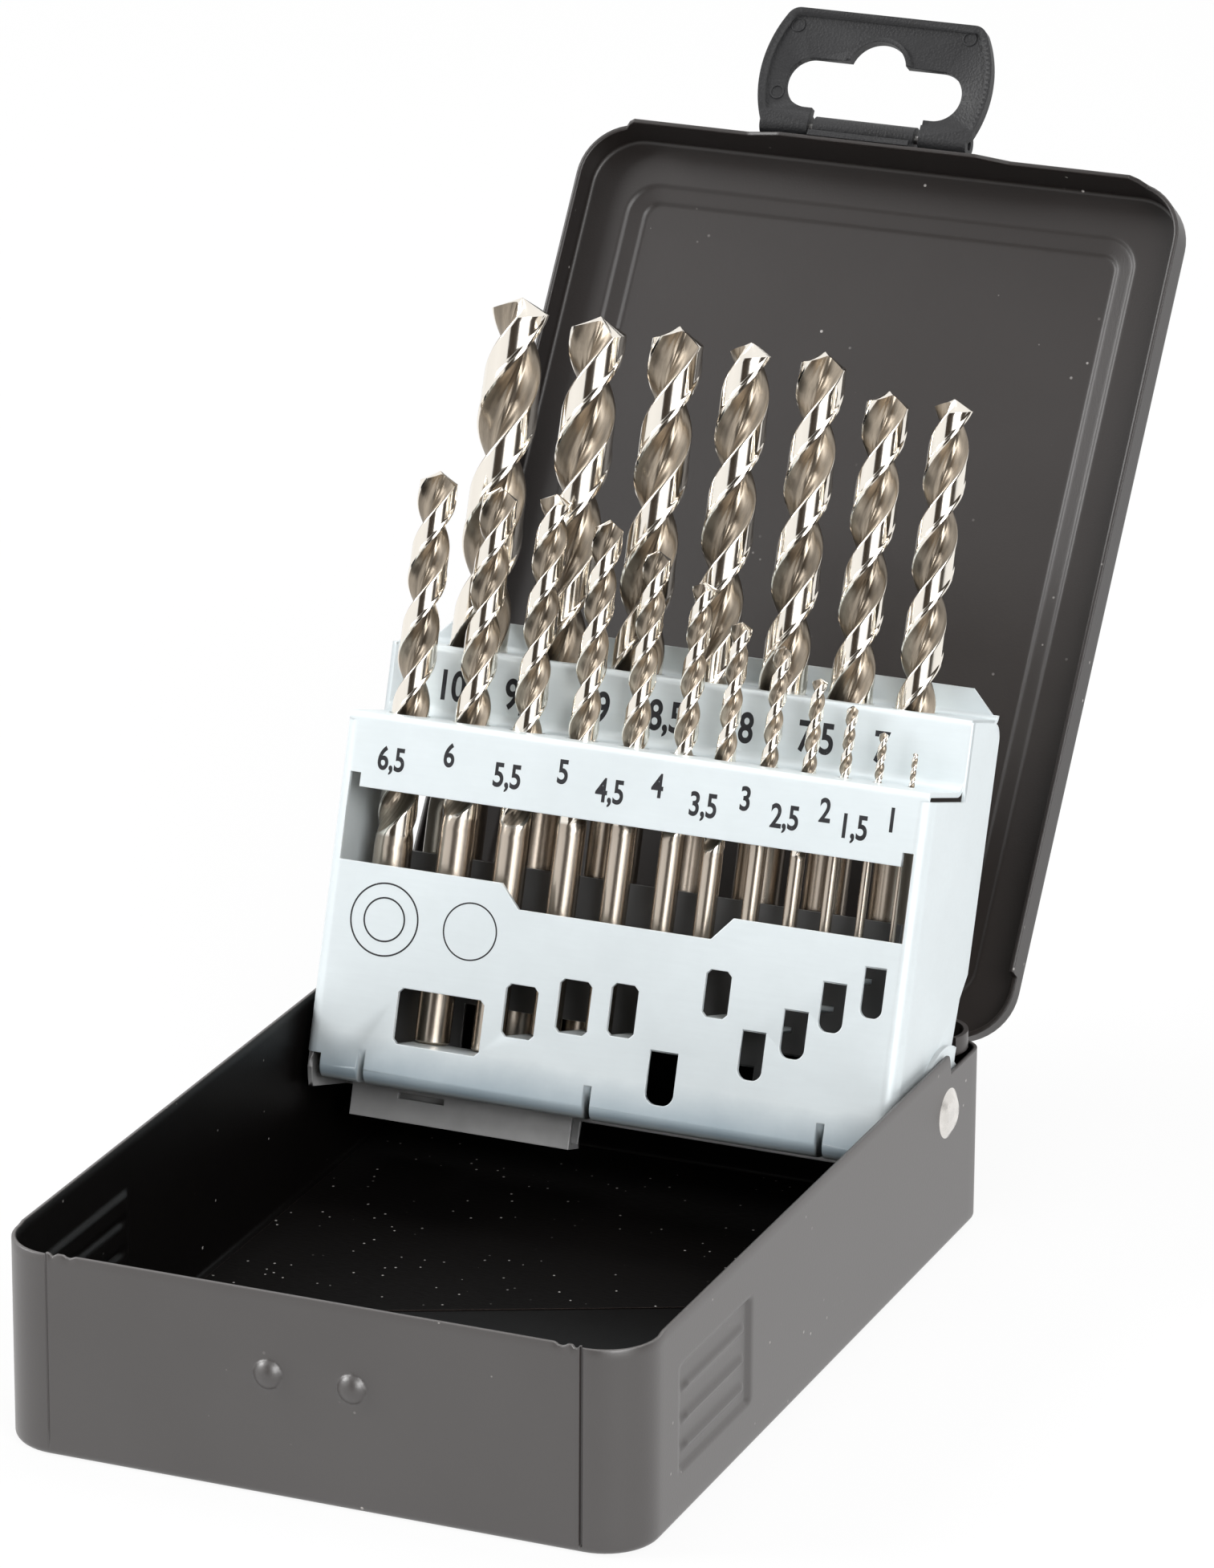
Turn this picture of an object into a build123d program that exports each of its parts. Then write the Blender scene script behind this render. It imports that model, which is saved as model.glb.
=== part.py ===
from build123d import *
import os
from math import cos, pi, radians, sin, sqrt, tan

os.makedirs("parts", exist_ok=True)

# Frame: X to the right, Y to the back, Z up, in millimetres.
# The origin is the middle of the tray's underside.

# Tray
SHEET = 0.8
TRAY_WIDTH = 107.6
TRAY_LENGTH = 148.0
TRAY_HEIGHT = 34.0
FRONT_CORNER = 10.0
REAR_CORNER = 4.0
FLOOR_FOLD = 1.1
SEAM_INSET = 9.3
SEAM_GAP = 0.3
SEAM_FOOT = 2.4
SEAM_NICK = (1.7, 1.2)
BUMP_SPREAD = 14.0
BUMP_RADIUS = 2.4
BUMP_RISE = 1.6
BUMP_CROWN = 1.2
BUMP_LEVEL = 20.4
GRIP_START = 16.5
GRIP_LENGTH = 28.9
GRIP_LOW = 7.9
GRIP_HIGH = 26.0
GRIP_DEPTH = 0.6
GRIP_CORNER = 1.5
GRIP_RIB = 0.9
GRIP_RIB_LEVELS = (11.5, 16.2, 21.4)
NOTCH_LENGTH = 15.9
NOTCH_DEPTH = 3.4
CURL_INSET = 6.8
CURL_RADIUS = 5.7
CURL_ANGLE = 120.0
CURL_SLIT = 0.3

# Lid and its hinge
LID_OPENING = 124.6
LID_SIDE_GAP = 0.5
LID_FRONT_GAP = 0.55
LID_REAR_GAP = 0.85
LID_TOP_GAP = 0.4
LID_CORNER = 9.7
LID_FOLD = 1.0
LID_SIDE_FLANGE = 5.9
LID_REAR_FLANGE = 3.4
LID_REAR_RELIEF = 12.0
LID_FRONT_FLANGE = 9.3
LID_FRONT_STEP = 8.1
LIP_DEPTH = 11.1
LIP_FOOT = 24.0
LIP_CREST = 18.0
EMBOSS_RISE = 1.0
EMBOSS_MARGIN = 8.1
EMBOSS_SLOPE = 4.0
EMBOSS_REAR = 6.8
EMBOSS_CORNER = 4.5
EMBOSS_CROWN_CORNER = 1.6
HINGE_DROP = 5.3
HINGE_PIN = 1.8
PIN_CLEARANCE = 0.05
KNUCKLES = 3
BARREL_LENGTH = 92.0
KNUCKLE_GAP = 0.4
PIN_OVERHANG = 1.0
TONGUE_WINDOW_TOP = 1.8

# Rack: depth runs back from the front plate's face, height up along the plate
RACK_LEAN = 18.1
RACK_SIDE_GAP = 1.15
PIVOT_INSET = 16.4
PIVOT_Z = 24.0
PIVOT_DEPTH = 21.8
PIVOT_DROP = 52.4
PIVOT_HOLE_GAP = 0.05
RACK_BOTTOM = 61.1
RACK_CORNER = 2.5
RACK_BEND = 1.2
BACK_FLANGE_BEND = 1.0
RISER_FOOT_BEND = 2.0
BOTTOM_FLANGE = 14.0
LEDGE_DEPTH = 16.0
LEDGE_STEP = 11.9
REAR_LEDGE_END = 29.0
BACK_FLANGE = 4.7
BACK_FLANGE_FOOT = 1.85
BACK_FLANGE_CREST = 5.85
CHEEK_RELIEF = 1.5
CHEEK_TOP = 11.5
CHEEK_TOP_CORNER = 3.0
CHEEK_REAR = ((28.3, -30.0), (25.8, -34.0), (24.6, -43.0), (24.6, -50.0))
BOSS_RADIUS = 11.0
BOSS_RISE = 0.85
CORNER_NOTCH = 4.1
CORNER_NOTCH_INSET = 3.15
CORNER_NOTCH_DEPTH = 3.0
WINDOW_INSET = 2.15
WINDOW_TOP_INSET = 4.05
WINDOW_CORNER = 0.8
ROUND_SHARE = 0.4
WINDOW_EAR_TOP = -10.1
WINDOW_TOP = -12.4
WINDOW_SILL = -24.7
WINDOW_DIP = -28.6
WINDOW_DIP_HALF = 17.0
WINDOW_DIP_SLOPE = 3.5
FRONT_SHELF_REACH = 11.6
SHELF_BEND_DROP = 0.55
DART_PLACES = (-41.5, -1.0, 39.8)
DART_WIDTH = 3.0
DART_SIZE = 5.3

# Places across the rack are given for a rack of this width, and spread with it
DRAWN_WIDTH = 103.7

# Shelves bent in from the front plate, with the drills that stand on each.
# A shelf: left, right, level of its top face, and the height of the window that
# it leaves, above it or, negative, below. A drill: diameter, overall length,
# flute length and place across.
FRONT_SHELVES = (
    ((-36.3, -20.8, -53.6, 9.3), ((6.0, 93.0, 57.0, -33.4), (5.5, 93.0, 57.0, -23.4))),
    ((-17.4, -11.6, -49.6, 8.8), ((5.0, 86.0, 52.0, -13.5),)),
    ((-8.1, -2.35, -47.5, 8.9), ((4.5, 80.0, 47.0, -4.3),)),
    ((1.0, 5.8, -46.7, 8.7), ((4.0, 75.0, 43.0, 4.5),)),
    ((9.0, 14.0, -47.3, -8.9), ((3.5, 70.0, 39.0, 11.8),)),
    ((17.0, 21.5, -41.2, 7.8), ((3.0, 61.0, 33.0, 19.5),)),
    ((24.4, 28.6, -41.7, -8.1), ((2.5, 57.0, 30.0, 26.5),)),
    ((31.1, 35.4, -37.3, -8.0), ((2.0, 49.0, 24.0, 32.7),)),
    ((37.1, 41.3, -31.9, -8.2), ((1.5, 40.0, 18.0, 38.6),)),
    ((43.9, 47.7, -28.5, -8.3), ((1.0, 34.0, 12.0, 44.4),)),
)
SOLE_DRILL = (6.5, 101.0, 63.0, -44.6)

# Carrier of the rear row
CARRIER_TOP = -22.7
CARRIER_TOP_INSET = 8.15
CARRIER_SHOULDER = -30.0
CARRIER_BOTTOM = -62.9
CARRIER_EAR = 7.5
FOOT_TOP = -57.0
FOOT_FRONT = 0.6
FOOT_SWING = 22.4
REAR_SHELF_REACH = 12.2
BRACKET_LEFT = -47.4
BRACKET_RIGHT = -7.7
BRACKET_DEPTH = 12.0
BRACKET_TOP = -61.9
BRACKET_BOTTOM = -67.5
BRACKET_SLOT = (-39.0, -30.7, -63.6, -62.6)
REAR_SHELVES = (
    ((-46.4, -31.8, -62.1, 0.0), ((10.0, 133.0, 87.0, -39.1),)),
    ((-30.8, -4.6, -55.6, 9.0), ((9.5, 125.0, 81.0, -24.7), (9.0, 125.0, 81.0, -10.5))),
    ((-3.4, 21.4, -48.8, -9.0), ((8.5, 117.0, 75.0, 2.5), (8.0, 117.0, 75.0, 15.5))),
    ((22.6, 44.0, -45.9, -9.0), ((7.5, 109.0, 69.0, 27.5), (7.0, 109.0, 69.0, 38.9))),
)

# Rivets of the rack's pivot
RIVET_SHANK = 4.0
RIVET_HEAD = 8.4
RIVET_HEAD_RISE = 0.9
RIVET_HEAD_FLAT = 5.0
RIVET_TAIL = 6.4
RIVET_TAIL_THICK = 1.0
RIVET_TAIL_GAP = 0.3

# Hanging tab, its clip and its pin
TAB_OFFSET = -3.5
TAB_LENGTH = 21.0
TAB_TOP_HALF = 17.4
TAB_BELLY_HALF = 20.8
TAB_BELLY = 11.5
TAB_CORNER = 2.6
TAB_BACK = 0.0
TAB_FACE = 1.5
TAB_RIM = 1.3
BARREL_RADIUS = 2.1
BARREL_STAND = 0.3
BARREL_LEVEL = 7.5
BARREL_HALF = 18.9
MIDDLE_HALF = 9.2
TAB_KNUCKLE_GAP = 1.0
SLOT_HALF = 16.1
SLOT_LOW = 3.2
SLOT_HIGH = 12.3
SLOT_HUMP_HALF = 5.3
SLOT_HUMP_TOP = 16.3
HANGER_PIN = 1.6
CLIP_THICK = 1.0
CLIP_LOW = 3.0

# Floor liner
LINER_THICK = 0.2
LINER_GAP = 1.6
LINER_LONG = 93.5
LINER_SHORT = 45.2

# Twist drills
FRONT_ROW_DEPTH = 10.0
REAR_ROW_DEPTH = 22.6
HOLE_GAP = 0.3
HOLE_SIDES = 16
STAND_GAP = 0.1
HELIX_ANGLE = 30.0
POINT_ANGLE = 130.0
SHANK_SIDES = 16
# Half of the drill's section, from a cutting edge round: angle and share of the radius
FLUTE_SECTION = ((0, 1.0), (54, 0.34), (106, 0.88), (140, 0.96))
FLUTE_STEP = 90.0
CORE_SHARE = 0.95
FLUTE_ROOT = 0.1

# Places that follow from the sizes
WALL = TRAY_WIDTH / 2
FRONT = -TRAY_LENGTH / 2
REAR = TRAY_LENGTH / 2
RACK_WIDTH = TRAY_WIDTH - 2 * (SHEET + RACK_SIDE_GAP)
LID_BORE = HINGE_PIN / 2 + PIN_CLEARANCE
LID_WIDTH = TRAY_WIDTH + 2 * (LID_SIDE_GAP + SHEET)
LID_LENGTH = TRAY_LENGTH + LID_REAR_GAP + LID_FRONT_GAP + 2 * SHEET
HINGE_Y = REAR + LID_REAR_GAP + SHEET + LID_BORE
HINGE_Z = TRAY_HEIGHT - HINGE_DROP
LID_RISE = TRAY_HEIGHT + LID_TOP_GAP - HINGE_Z
LID_FRONT = LID_BORE + LID_LENGTH
KNUCKLE_PITCH = BARREL_LENGTH / KNUCKLES
KNUCKLE_LENGTH = KNUCKLE_PITCH - KNUCKLE_GAP
HINGE_STARTS = [(i - KNUCKLES / 2) * KNUCKLE_PITCH + KNUCKLE_GAP / 2 for i in range(KNUCKLES)]
CHEEK = RACK_WIDTH / 2
INNER_CHEEK = CHEEK - SHEET
SPREAD = RACK_WIDTH / DRAWN_WIDTH
PIVOT_Y = REAR - PIVOT_INSET

# The two rows of drills, each drill with the level that it stands on
FRONT_ROW = [(*SOLE_DRILL, SHEET - RACK_BOTTOM)]
FRONT_ROW += [(*drill, shelf[2]) for shelf, drills in FRONT_SHELVES for drill in drills]
REAR_ROW = [(*drill, shelf[2]) for shelf, drills in REAR_SHELVES for drill in drills]

lean = radians(RACK_LEAN)
rack_up = Vector(0, sin(lean), cos(lean))
rack_out = Vector(0, -cos(lean), sin(lean))
pivot = Vector(0, PIVOT_Y, PIVOT_Z)
rack_origin = pivot + rack_up * PIVOT_DROP + rack_out * PIVOT_DEPTH
rack_face = Plane(origin=rack_origin, x_dir=(1, 0, 0), z_dir=rack_out)
rack_side = Plane(origin=rack_origin, x_dir=rack_out * -1, z_dir=(1, 0, 0))
rack_plan = Plane(origin=rack_origin, x_dir=(1, 0, 0), z_dir=rack_up)

opening = radians(LID_OPENING)
lid_inward = Vector(0, -sin(opening), -cos(opening))
hinge = Vector(0, HINGE_Y, HINGE_Z)
lid_plane = Plane(origin=hinge, x_dir=(1, 0, 0), z_dir=lid_inward)
lid_forward = lid_plane.y_dir
lid_side = Plane(origin=hinge, x_dir=lid_forward, z_dir=(1, 0, 0))
barrel_stand = LID_FRONT + BARREL_RADIUS + BARREL_STAND
barrel_centre = lid_plane.from_local_coords((TAB_OFFSET, barrel_stand, BARREL_LEVEL - LID_RISE))
tab_plane = Plane(origin=barrel_centre, x_dir=(1, 0, 0), z_dir=lid_inward)
tab_side = Plane(origin=barrel_centre, x_dir=lid_forward, z_dir=(1, 0, 0))


def box_sketch(left, right, low, high, mode=Mode.ADD):
    """A rectangle between two corners, in the sketch that is open."""
    with Locations(((left + right) / 2, (low + high) / 2)):
        Rectangle(right - left, high - low, mode=mode)


# The tray: one pressed sheet with folded walls
with BuildPart() as base_tray:
    with BuildSketch() as plan:
        Rectangle(TRAY_WIDTH, TRAY_LENGTH)
        fillet(plan.vertices().group_by(Axis.Y)[0], FRONT_CORNER)
        fillet(plan.vertices().group_by(Axis.Y)[-1], REAR_CORNER)
    extrude(amount=TRAY_HEIGHT)
    chamfer(base_tray.faces().sort_by(Axis.Z)[0].edges(), FLOOR_FOLD)
    offset(amount=-SHEET, openings=base_tray.faces().sort_by(Axis.Z)[-1])

    # Open seams beside the front corners, with a nick in the rim over each
    with BuildSketch(Plane.XZ.offset(-FRONT)) as seams:
        for side in (-1, 1):
            place = side * (WALL - SEAM_INSET)
            box_sketch(place - SEAM_GAP / 2, place + SEAM_GAP / 2, SEAM_FOOT, TRAY_HEIGHT)
            nick, drop = SEAM_NICK
            box_sketch(place - nick / 2, place + nick / 2, TRAY_HEIGHT - drop, TRAY_HEIGHT)
    extrude(amount=-2 * SHEET, mode=Mode.SUBTRACT)

    # Two round bumps pressed out of the front wall
    crown = FRONT - BUMP_RISE
    for side in (-1, 1):
        place = side * BUMP_SPREAD / 2
        with BuildSketch(Plane.YZ.offset(place)):
            with BuildLine():
                Polyline(
                    (FRONT, BUMP_LEVEL),
                    (FRONT, BUMP_LEVEL + BUMP_RADIUS),
                    (crown, BUMP_LEVEL + BUMP_CROWN),
                    (crown, BUMP_LEVEL),
                    close=True,
                )
            make_face()
        revolve(axis=Axis((place, 0, BUMP_LEVEL), (0, 1, 0)))
        with BuildSketch(Plane.YZ.offset(place)):
            with BuildLine():
                Polyline(
                    (FRONT + SHEET, BUMP_LEVEL),
                    (FRONT + SHEET, BUMP_LEVEL + BUMP_RADIUS - SHEET / 2),
                    (crown + SHEET, BUMP_LEVEL + BUMP_CROWN - SHEET / 2),
                    (crown + SHEET, BUMP_LEVEL),
                    close=True,
                )
            make_face()
        revolve(axis=Axis((place, 0, BUMP_LEVEL), (0, 1, 0)), mode=Mode.SUBTRACT)

    # Ribbed grip panels pressed into the side walls
    grip_middle = (FRONT + GRIP_START + GRIP_LENGTH / 2, (GRIP_LOW + GRIP_HIGH) / 2)
    grip_height = GRIP_HIGH - GRIP_LOW
    for side in (-1, 1):
        with BuildSketch(Plane.YZ.offset(side * (WALL - SHEET))):
            with Locations(grip_middle):
                pad = Rectangle(GRIP_LENGTH + 2 * SHEET, grip_height + 2 * SHEET)
            chamfer(pad.vertices(), GRIP_CORNER)
        extrude(amount=-side * GRIP_DEPTH)
        with BuildSketch(Plane.YZ.offset(side * WALL)):
            with Locations(grip_middle):
                pocket = Rectangle(GRIP_LENGTH, grip_height)
            chamfer(pocket.vertices(), GRIP_CORNER)
        extrude(amount=-side * GRIP_DEPTH, mode=Mode.SUBTRACT)
        with BuildSketch(Plane.YZ.offset(side * (WALL - GRIP_DEPTH))):
            for level in GRIP_RIB_LEVELS:
                with Locations((grip_middle[0], level)):
                    Rectangle(GRIP_LENGTH - 2 * GRIP_CORNER, GRIP_RIB)
        extrude(amount=side * GRIP_DEPTH)

    # Notches behind the pivots, and the rim of each rear corner curled inwards
    curl_start = WALL - CURL_INSET
    for side in (-1, 1):
        with BuildSketch(Plane.XY.offset(TRAY_HEIGHT - NOTCH_DEPTH)):
            edges = sorted((side * curl_start, side * (WALL + SHEET)))
            box_sketch(edges[0], edges[1], REAR - NOTCH_LENGTH, REAR + SHEET)
        extrude(amount=NOTCH_DEPTH, mode=Mode.SUBTRACT)
        with BuildSketch(Plane.XY.offset(TRAY_HEIGHT - NOTCH_DEPTH + CURL_SLIT)):
            centre = (side * curl_start, REAR - CURL_RADIUS)
            start = 90 - CURL_ANGLE if side > 0 else 90
            with BuildLine():
                curl = CenterArc(centre, CURL_RADIUS, start, CURL_ANGLE)
                curl_inside = CenterArc(centre, CURL_RADIUS - SHEET, start, CURL_ANGLE)
                Line(curl @ 0, curl_inside @ 0)
                Line(curl @ 1, curl_inside @ 1)
            make_face()
        extrude(amount=NOTCH_DEPTH - CURL_SLIT)

    # Holes of the pivot rivets
    with BuildSketch(Plane.YZ):
        with Locations((PIVOT_Y, PIVOT_Z)):
            Circle(RIVET_SHANK / 2)
    extrude(amount=TRAY_WIDTH, both=True, mode=Mode.SUBTRACT)

    # Hinge tongues bent out of the rear wall and rolled tightly round the pin
    tray_roll = HINGE_PIN / 2 + SHEET
    tongue_top = HINGE_Z - HINGE_PIN / 2
    with BuildSketch(Plane.XZ.offset(-REAR)):
        for start in HINGE_STARTS[1::2]:
            box_sketch(start, start + KNUCKLE_LENGTH, tongue_top, TRAY_HEIGHT - TONGUE_WINDOW_TOP)
    extrude(amount=SHEET, mode=Mode.SUBTRACT)
    for start in HINGE_STARTS[1::2]:
        with BuildSketch(Plane.YZ.offset(start)):
            with Locations((HINGE_Y, HINGE_Z)):
                Circle(tray_roll)
            box_sketch(REAR - SHEET / 2, HINGE_Y, HINGE_Z - tray_roll, tongue_top)
            with Locations((HINGE_Y, HINGE_Z)):
                Circle(HINGE_PIN / 2, mode=Mode.SUBTRACT)
        extrude(amount=KNUCKLE_LENGTH)

# The lid: a shallow pressed tray, built in its own plane, whose origin is the hinge axis
lid_rear = LID_BORE
lid_depth_axis = Axis(hinge, lid_inward)
with BuildPart() as lid:
    with BuildSketch(lid_plane.offset(-LID_RISE - SHEET)) as lid_plan:
        with Locations((0, lid_rear + LID_LENGTH / 2)):
            Rectangle(LID_WIDTH, LID_LENGTH)
        fillet(lid_plan.vertices(), LID_CORNER)
    extrude(amount=SHEET + LIP_DEPTH)
    chamfer(lid.faces().sort_by(lid_depth_axis)[0].edges(), LID_FOLD)
    offset(amount=-SHEET, openings=lid.faces().sort_by(lid_depth_axis)[-1])

    # Panel raised outwards inside a sloped border
    emboss_width = LID_WIDTH - 2 * EMBOSS_MARGIN
    emboss_length = LID_LENGTH - EMBOSS_REAR - EMBOSS_MARGIN
    emboss_middle = lid_rear + EMBOSS_REAR + emboss_length / 2
    crown_width = emboss_width - 2 * EMBOSS_SLOPE
    crown_length = emboss_length - 2 * EMBOSS_SLOPE
    for level, mode in ((-LID_RISE - SHEET, Mode.ADD), (-LID_RISE, Mode.SUBTRACT)):
        with BuildSketch(lid_plane.offset(level)):
            with Locations((0, emboss_middle)):
                foot = Rectangle(emboss_width, emboss_length)
            chamfer(foot.vertices(), EMBOSS_CORNER)
        with BuildSketch(lid_plane.offset(level - EMBOSS_RISE)):
            with Locations((0, emboss_middle)):
                crest = Rectangle(crown_width, crown_length)
            chamfer(crest.vertices(), EMBOSS_CROWN_CORNER)
        loft(ruled=True, mode=mode)

    # Side and rear flanges trimmed to their depths behind the front flange
    past = LIP_DEPTH + SHEET - LID_RISE
    flange_end = LID_FRONT - SHEET
    front_reach = LID_WIDTH / 2 - LID_FRONT_STEP
    with BuildSketch(lid_side):
        box_sketch(lid_rear - SHEET, flange_end, LID_SIDE_FLANGE - LID_RISE, past)
        box_sketch(lid_rear - SHEET, lid_rear + LID_REAR_RELIEF, LID_REAR_FLANGE - LID_RISE, past)
    extrude(amount=LID_WIDTH, both=True, mode=Mode.SUBTRACT)

    # Front flange: stepped ends and a deeper lip in the middle
    with BuildSketch(Plane(origin=lid_plane.from_local_coords((0, LID_FRONT, -LID_RISE)),
                           x_dir=(1, 0, 0), z_dir=lid_forward * -1)) as front_trim:
        # In this plane the second coordinate is the depth of the flange
        with BuildLine():
            Polyline(
                (LID_WIDTH, LID_SIDE_FLANGE),
                (front_reach, LID_SIDE_FLANGE),
                (front_reach - SHEET, LID_FRONT_FLANGE),
                (LIP_FOOT, LID_FRONT_FLANGE),
                (LIP_CREST, LIP_DEPTH + SHEET / 8),
                (LIP_CREST, LIP_DEPTH + SHEET),
                (LID_WIDTH, LIP_DEPTH + SHEET),
                close=True,
            )
        make_face()
        mirror(about=Plane.YZ)
    extrude(amount=SHEET, both=True, mode=Mode.SUBTRACT)

    # Leaves that go down from the rear fold and roll round the pin
    lid_roll = LID_BORE + SHEET
    for start in HINGE_STARTS[0::2]:
        with BuildSketch(lid_side.offset(start)):
            Circle(lid_roll)
            box_sketch(LID_BORE, lid_roll, SHEET - LID_RISE, 0)
            Circle(LID_BORE, mode=Mode.SUBTRACT)
        extrude(amount=KNUCKLE_LENGTH)

with BuildPart(Plane.YZ.offset(-BARREL_LENGTH / 2 - PIN_OVERHANG)) as lid_hinge_pin:
    with BuildSketch(Plane.YZ.offset(-BARREL_LENGTH / 2 - PIN_OVERHANG)):
        with Locations((HINGE_Y, HINGE_Z)):
            Circle(HINGE_PIN / 2)
    extrude(amount=BARREL_LENGTH + 2 * PIN_OVERHANG)

# The rack: a folded sheet with two cheeks and two stepped ledges
with BuildPart() as drill_rack:
    # Front plate and cheeks as one wrapped sheet
    with BuildSketch(rack_plan.offset(-RACK_BOTTOM)) as wrap:
        box_sketch(-CHEEK, CHEEK, 0, 2 * REAR_LEDGE_END)
        fillet(wrap.vertices().group_by(Axis.Y)[0], RACK_CORNER)
        with BuildSketch(mode=Mode.PRIVATE) as wrap_inside:
            box_sketch(-INNER_CHEEK, INNER_CHEEK, SHEET, 3 * REAR_LEDGE_END)
            fillet(wrap_inside.vertices().group_by(Axis.Y)[0], RACK_CORNER - SHEET)
        add(wrap_inside.sketch, mode=Mode.SUBTRACT)
    extrude(amount=RACK_BOTTOM + CHEEK_TOP)
    # Side outline, with a round ear about the pivot
    with BuildSketch(rack_side) as outline:
        with BuildLine():
            Polyline(
                (-SHEET, -RACK_BOTTOM),
                (-SHEET, -CHEEK_RELIEF),
                (LEDGE_DEPTH, -CHEEK_RELIEF),
                (LEDGE_DEPTH, CHEEK_TOP),
                (REAR_LEDGE_END, CHEEK_TOP),
                *CHEEK_REAR,
                (PIVOT_DEPTH, -RACK_BOTTOM),
                close=True,
            )
        make_face()
        fillet(outline.vertices().sort_by(Axis((0, 0, 0), (1, 1, 0)))[-1], CHEEK_TOP_CORNER)
        with Locations((PIVOT_DEPTH, -PIVOT_DROP)):
            Circle(RACK_BOTTOM - PIVOT_DROP)
    extrude(amount=RACK_WIDTH, both=True, mode=Mode.INTERSECT)

    # Round bosses pressed outwards about the pivot
    for side in (-1, 1):
        for reach, level, mode in (
            (BOSS_RADIUS, CHEEK, Mode.ADD),
            (BOSS_RADIUS - SHEET, INNER_CHEEK, Mode.SUBTRACT),
        ):
            with BuildSketch(rack_side.offset(side * level)) as boss:
                with Locations((PIVOT_DEPTH, -PIVOT_DROP)):
                    Circle(reach)
                add(outline.sketch_local, mode=Mode.INTERSECT)
            extrude(amount=side * BOSS_RISE, mode=mode)

    # Ledges and riser, folded from the top of the front plate
    with BuildSketch(rack_side.offset(-INNER_CHEEK)):
        with BuildLine():
            stairs = FilletPolyline(
                (0, -CHEEK_RELIEF),
                (0, 0),
                (LEDGE_DEPTH, 0),
                (LEDGE_DEPTH, LEDGE_STEP),
                (REAR_LEDGE_END, LEDGE_STEP),
                (REAR_LEDGE_END, LEDGE_STEP + BACK_FLANGE),
                radius=(RACK_BEND, RISER_FOOT_BEND, RACK_BEND, BACK_FLANGE_BEND),
            )
            offset(stairs, amount=SHEET, side=Side.RIGHT)
        make_face()
    extrude(amount=2 * INNER_CHEEK)
    with BuildSketch(rack_face.offset(-REAR_LEDGE_END + SHEET)):
        with BuildLine():
            Polyline(
                (CHEEK - BACK_FLANGE_FOOT, LEDGE_STEP + SHEET),
                (CHEEK - BACK_FLANGE_CREST, LEDGE_STEP + BACK_FLANGE + SHEET / 4),
                (CHEEK + SHEET, LEDGE_STEP + BACK_FLANGE + SHEET / 4),
                (CHEEK + SHEET, LEDGE_STEP + SHEET),
                close=True,
            )
        make_face()
        mirror(about=Plane.YZ)
    extrude(amount=-3 * SHEET, mode=Mode.SUBTRACT)

    # Bottom flange, folded back under the plate, with notched corners and three darts
    notch_level = -RACK_BOTTOM + CORNER_NOTCH
    with BuildSketch(rack_side):
        box_sketch(-SHEET, CORNER_NOTCH_DEPTH, -RACK_BOTTOM - SHEET, notch_level)
    extrude(amount=RACK_WIDTH, both=True, mode=Mode.SUBTRACT)
    sole_half = CHEEK - CORNER_NOTCH_INSET
    with BuildSketch(rack_side.offset(-sole_half)):
        with BuildLine():
            sole = FilletPolyline(
                (0, notch_level),
                (0, -RACK_BOTTOM),
                (BOTTOM_FLANGE, -RACK_BOTTOM),
                radius=RACK_CORNER,
            )
            offset(sole, amount=SHEET, side=Side.LEFT)
        make_face()
    extrude(amount=2 * sole_half)
    dart_low = -RACK_BOTTOM + SHEET
    dart_shift = SHEET * sqrt(2)
    for place in [SPREAD * drawn for drawn in DART_PLACES]:
        with BuildSketch(rack_side.offset(place - DART_WIDTH / 2)):
            with BuildLine():
                Polyline(
                    (SHEET, dart_low), (SHEET + DART_SIZE, dart_low), (SHEET, dart_low + DART_SIZE), close=True
                )
            make_face()
        extrude(amount=DART_WIDTH)
        with BuildSketch(rack_side.offset(place - DART_WIDTH / 2 + SHEET)):
            corner = (-SHEET, dart_low - 2 * SHEET)
            groove = DART_SIZE + 4 * SHEET - dart_shift
            with BuildLine():
                Polyline(
                    corner, (corner[0] + groove, corner[1]), (corner[0], corner[1] + groove), close=True
                )
            make_face()
        extrude(amount=DART_WIDTH - 2 * SHEET, mode=Mode.SUBTRACT)

    # The wide window across the plate
    window_half = CHEEK - WINDOW_INSET
    window_top_half = CHEEK - WINDOW_TOP_INSET
    dip_half = SPREAD * WINDOW_DIP_HALF
    with BuildSketch(rack_face):
        with BuildLine():
            Polyline(
                (0, WINDOW_TOP),
                (window_top_half, WINDOW_TOP),
                (window_top_half, WINDOW_EAR_TOP),
                (window_half, WINDOW_EAR_TOP),
                (window_half, WINDOW_SILL),
                (dip_half + WINDOW_DIP_SLOPE, WINDOW_SILL),
                (dip_half, WINDOW_DIP),
                (0, WINDOW_DIP),
                close=True,
            )
        make_face()
        mirror(about=Plane.YZ)
    extrude(amount=-RACK_CORNER, mode=Mode.SUBTRACT)

    # Small windows and the shelves bent in from them
    for (left, right, level, height), _ in FRONT_SHELVES:
        edge = level if height > 0 else level - SHELF_BEND_DROP
        with BuildSketch(rack_face) as window:
            box_sketch(SPREAD * left, SPREAD * right, min(edge, edge + height), max(edge, edge + height))
            if height < 0:
                fillet(window.vertices().group_by(Axis.Y)[0], (right - left) * ROUND_SHARE)
            else:
                chamfer(window.vertices(), WINDOW_CORNER)
        extrude(amount=-SHEET, mode=Mode.SUBTRACT)
        with BuildSketch(rack_side.offset(SPREAD * left)):
            box_sketch(SHEET / 2, FRONT_SHELF_REACH, level - SHEET, level)
        extrude(amount=SPREAD * (right - left))

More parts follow.
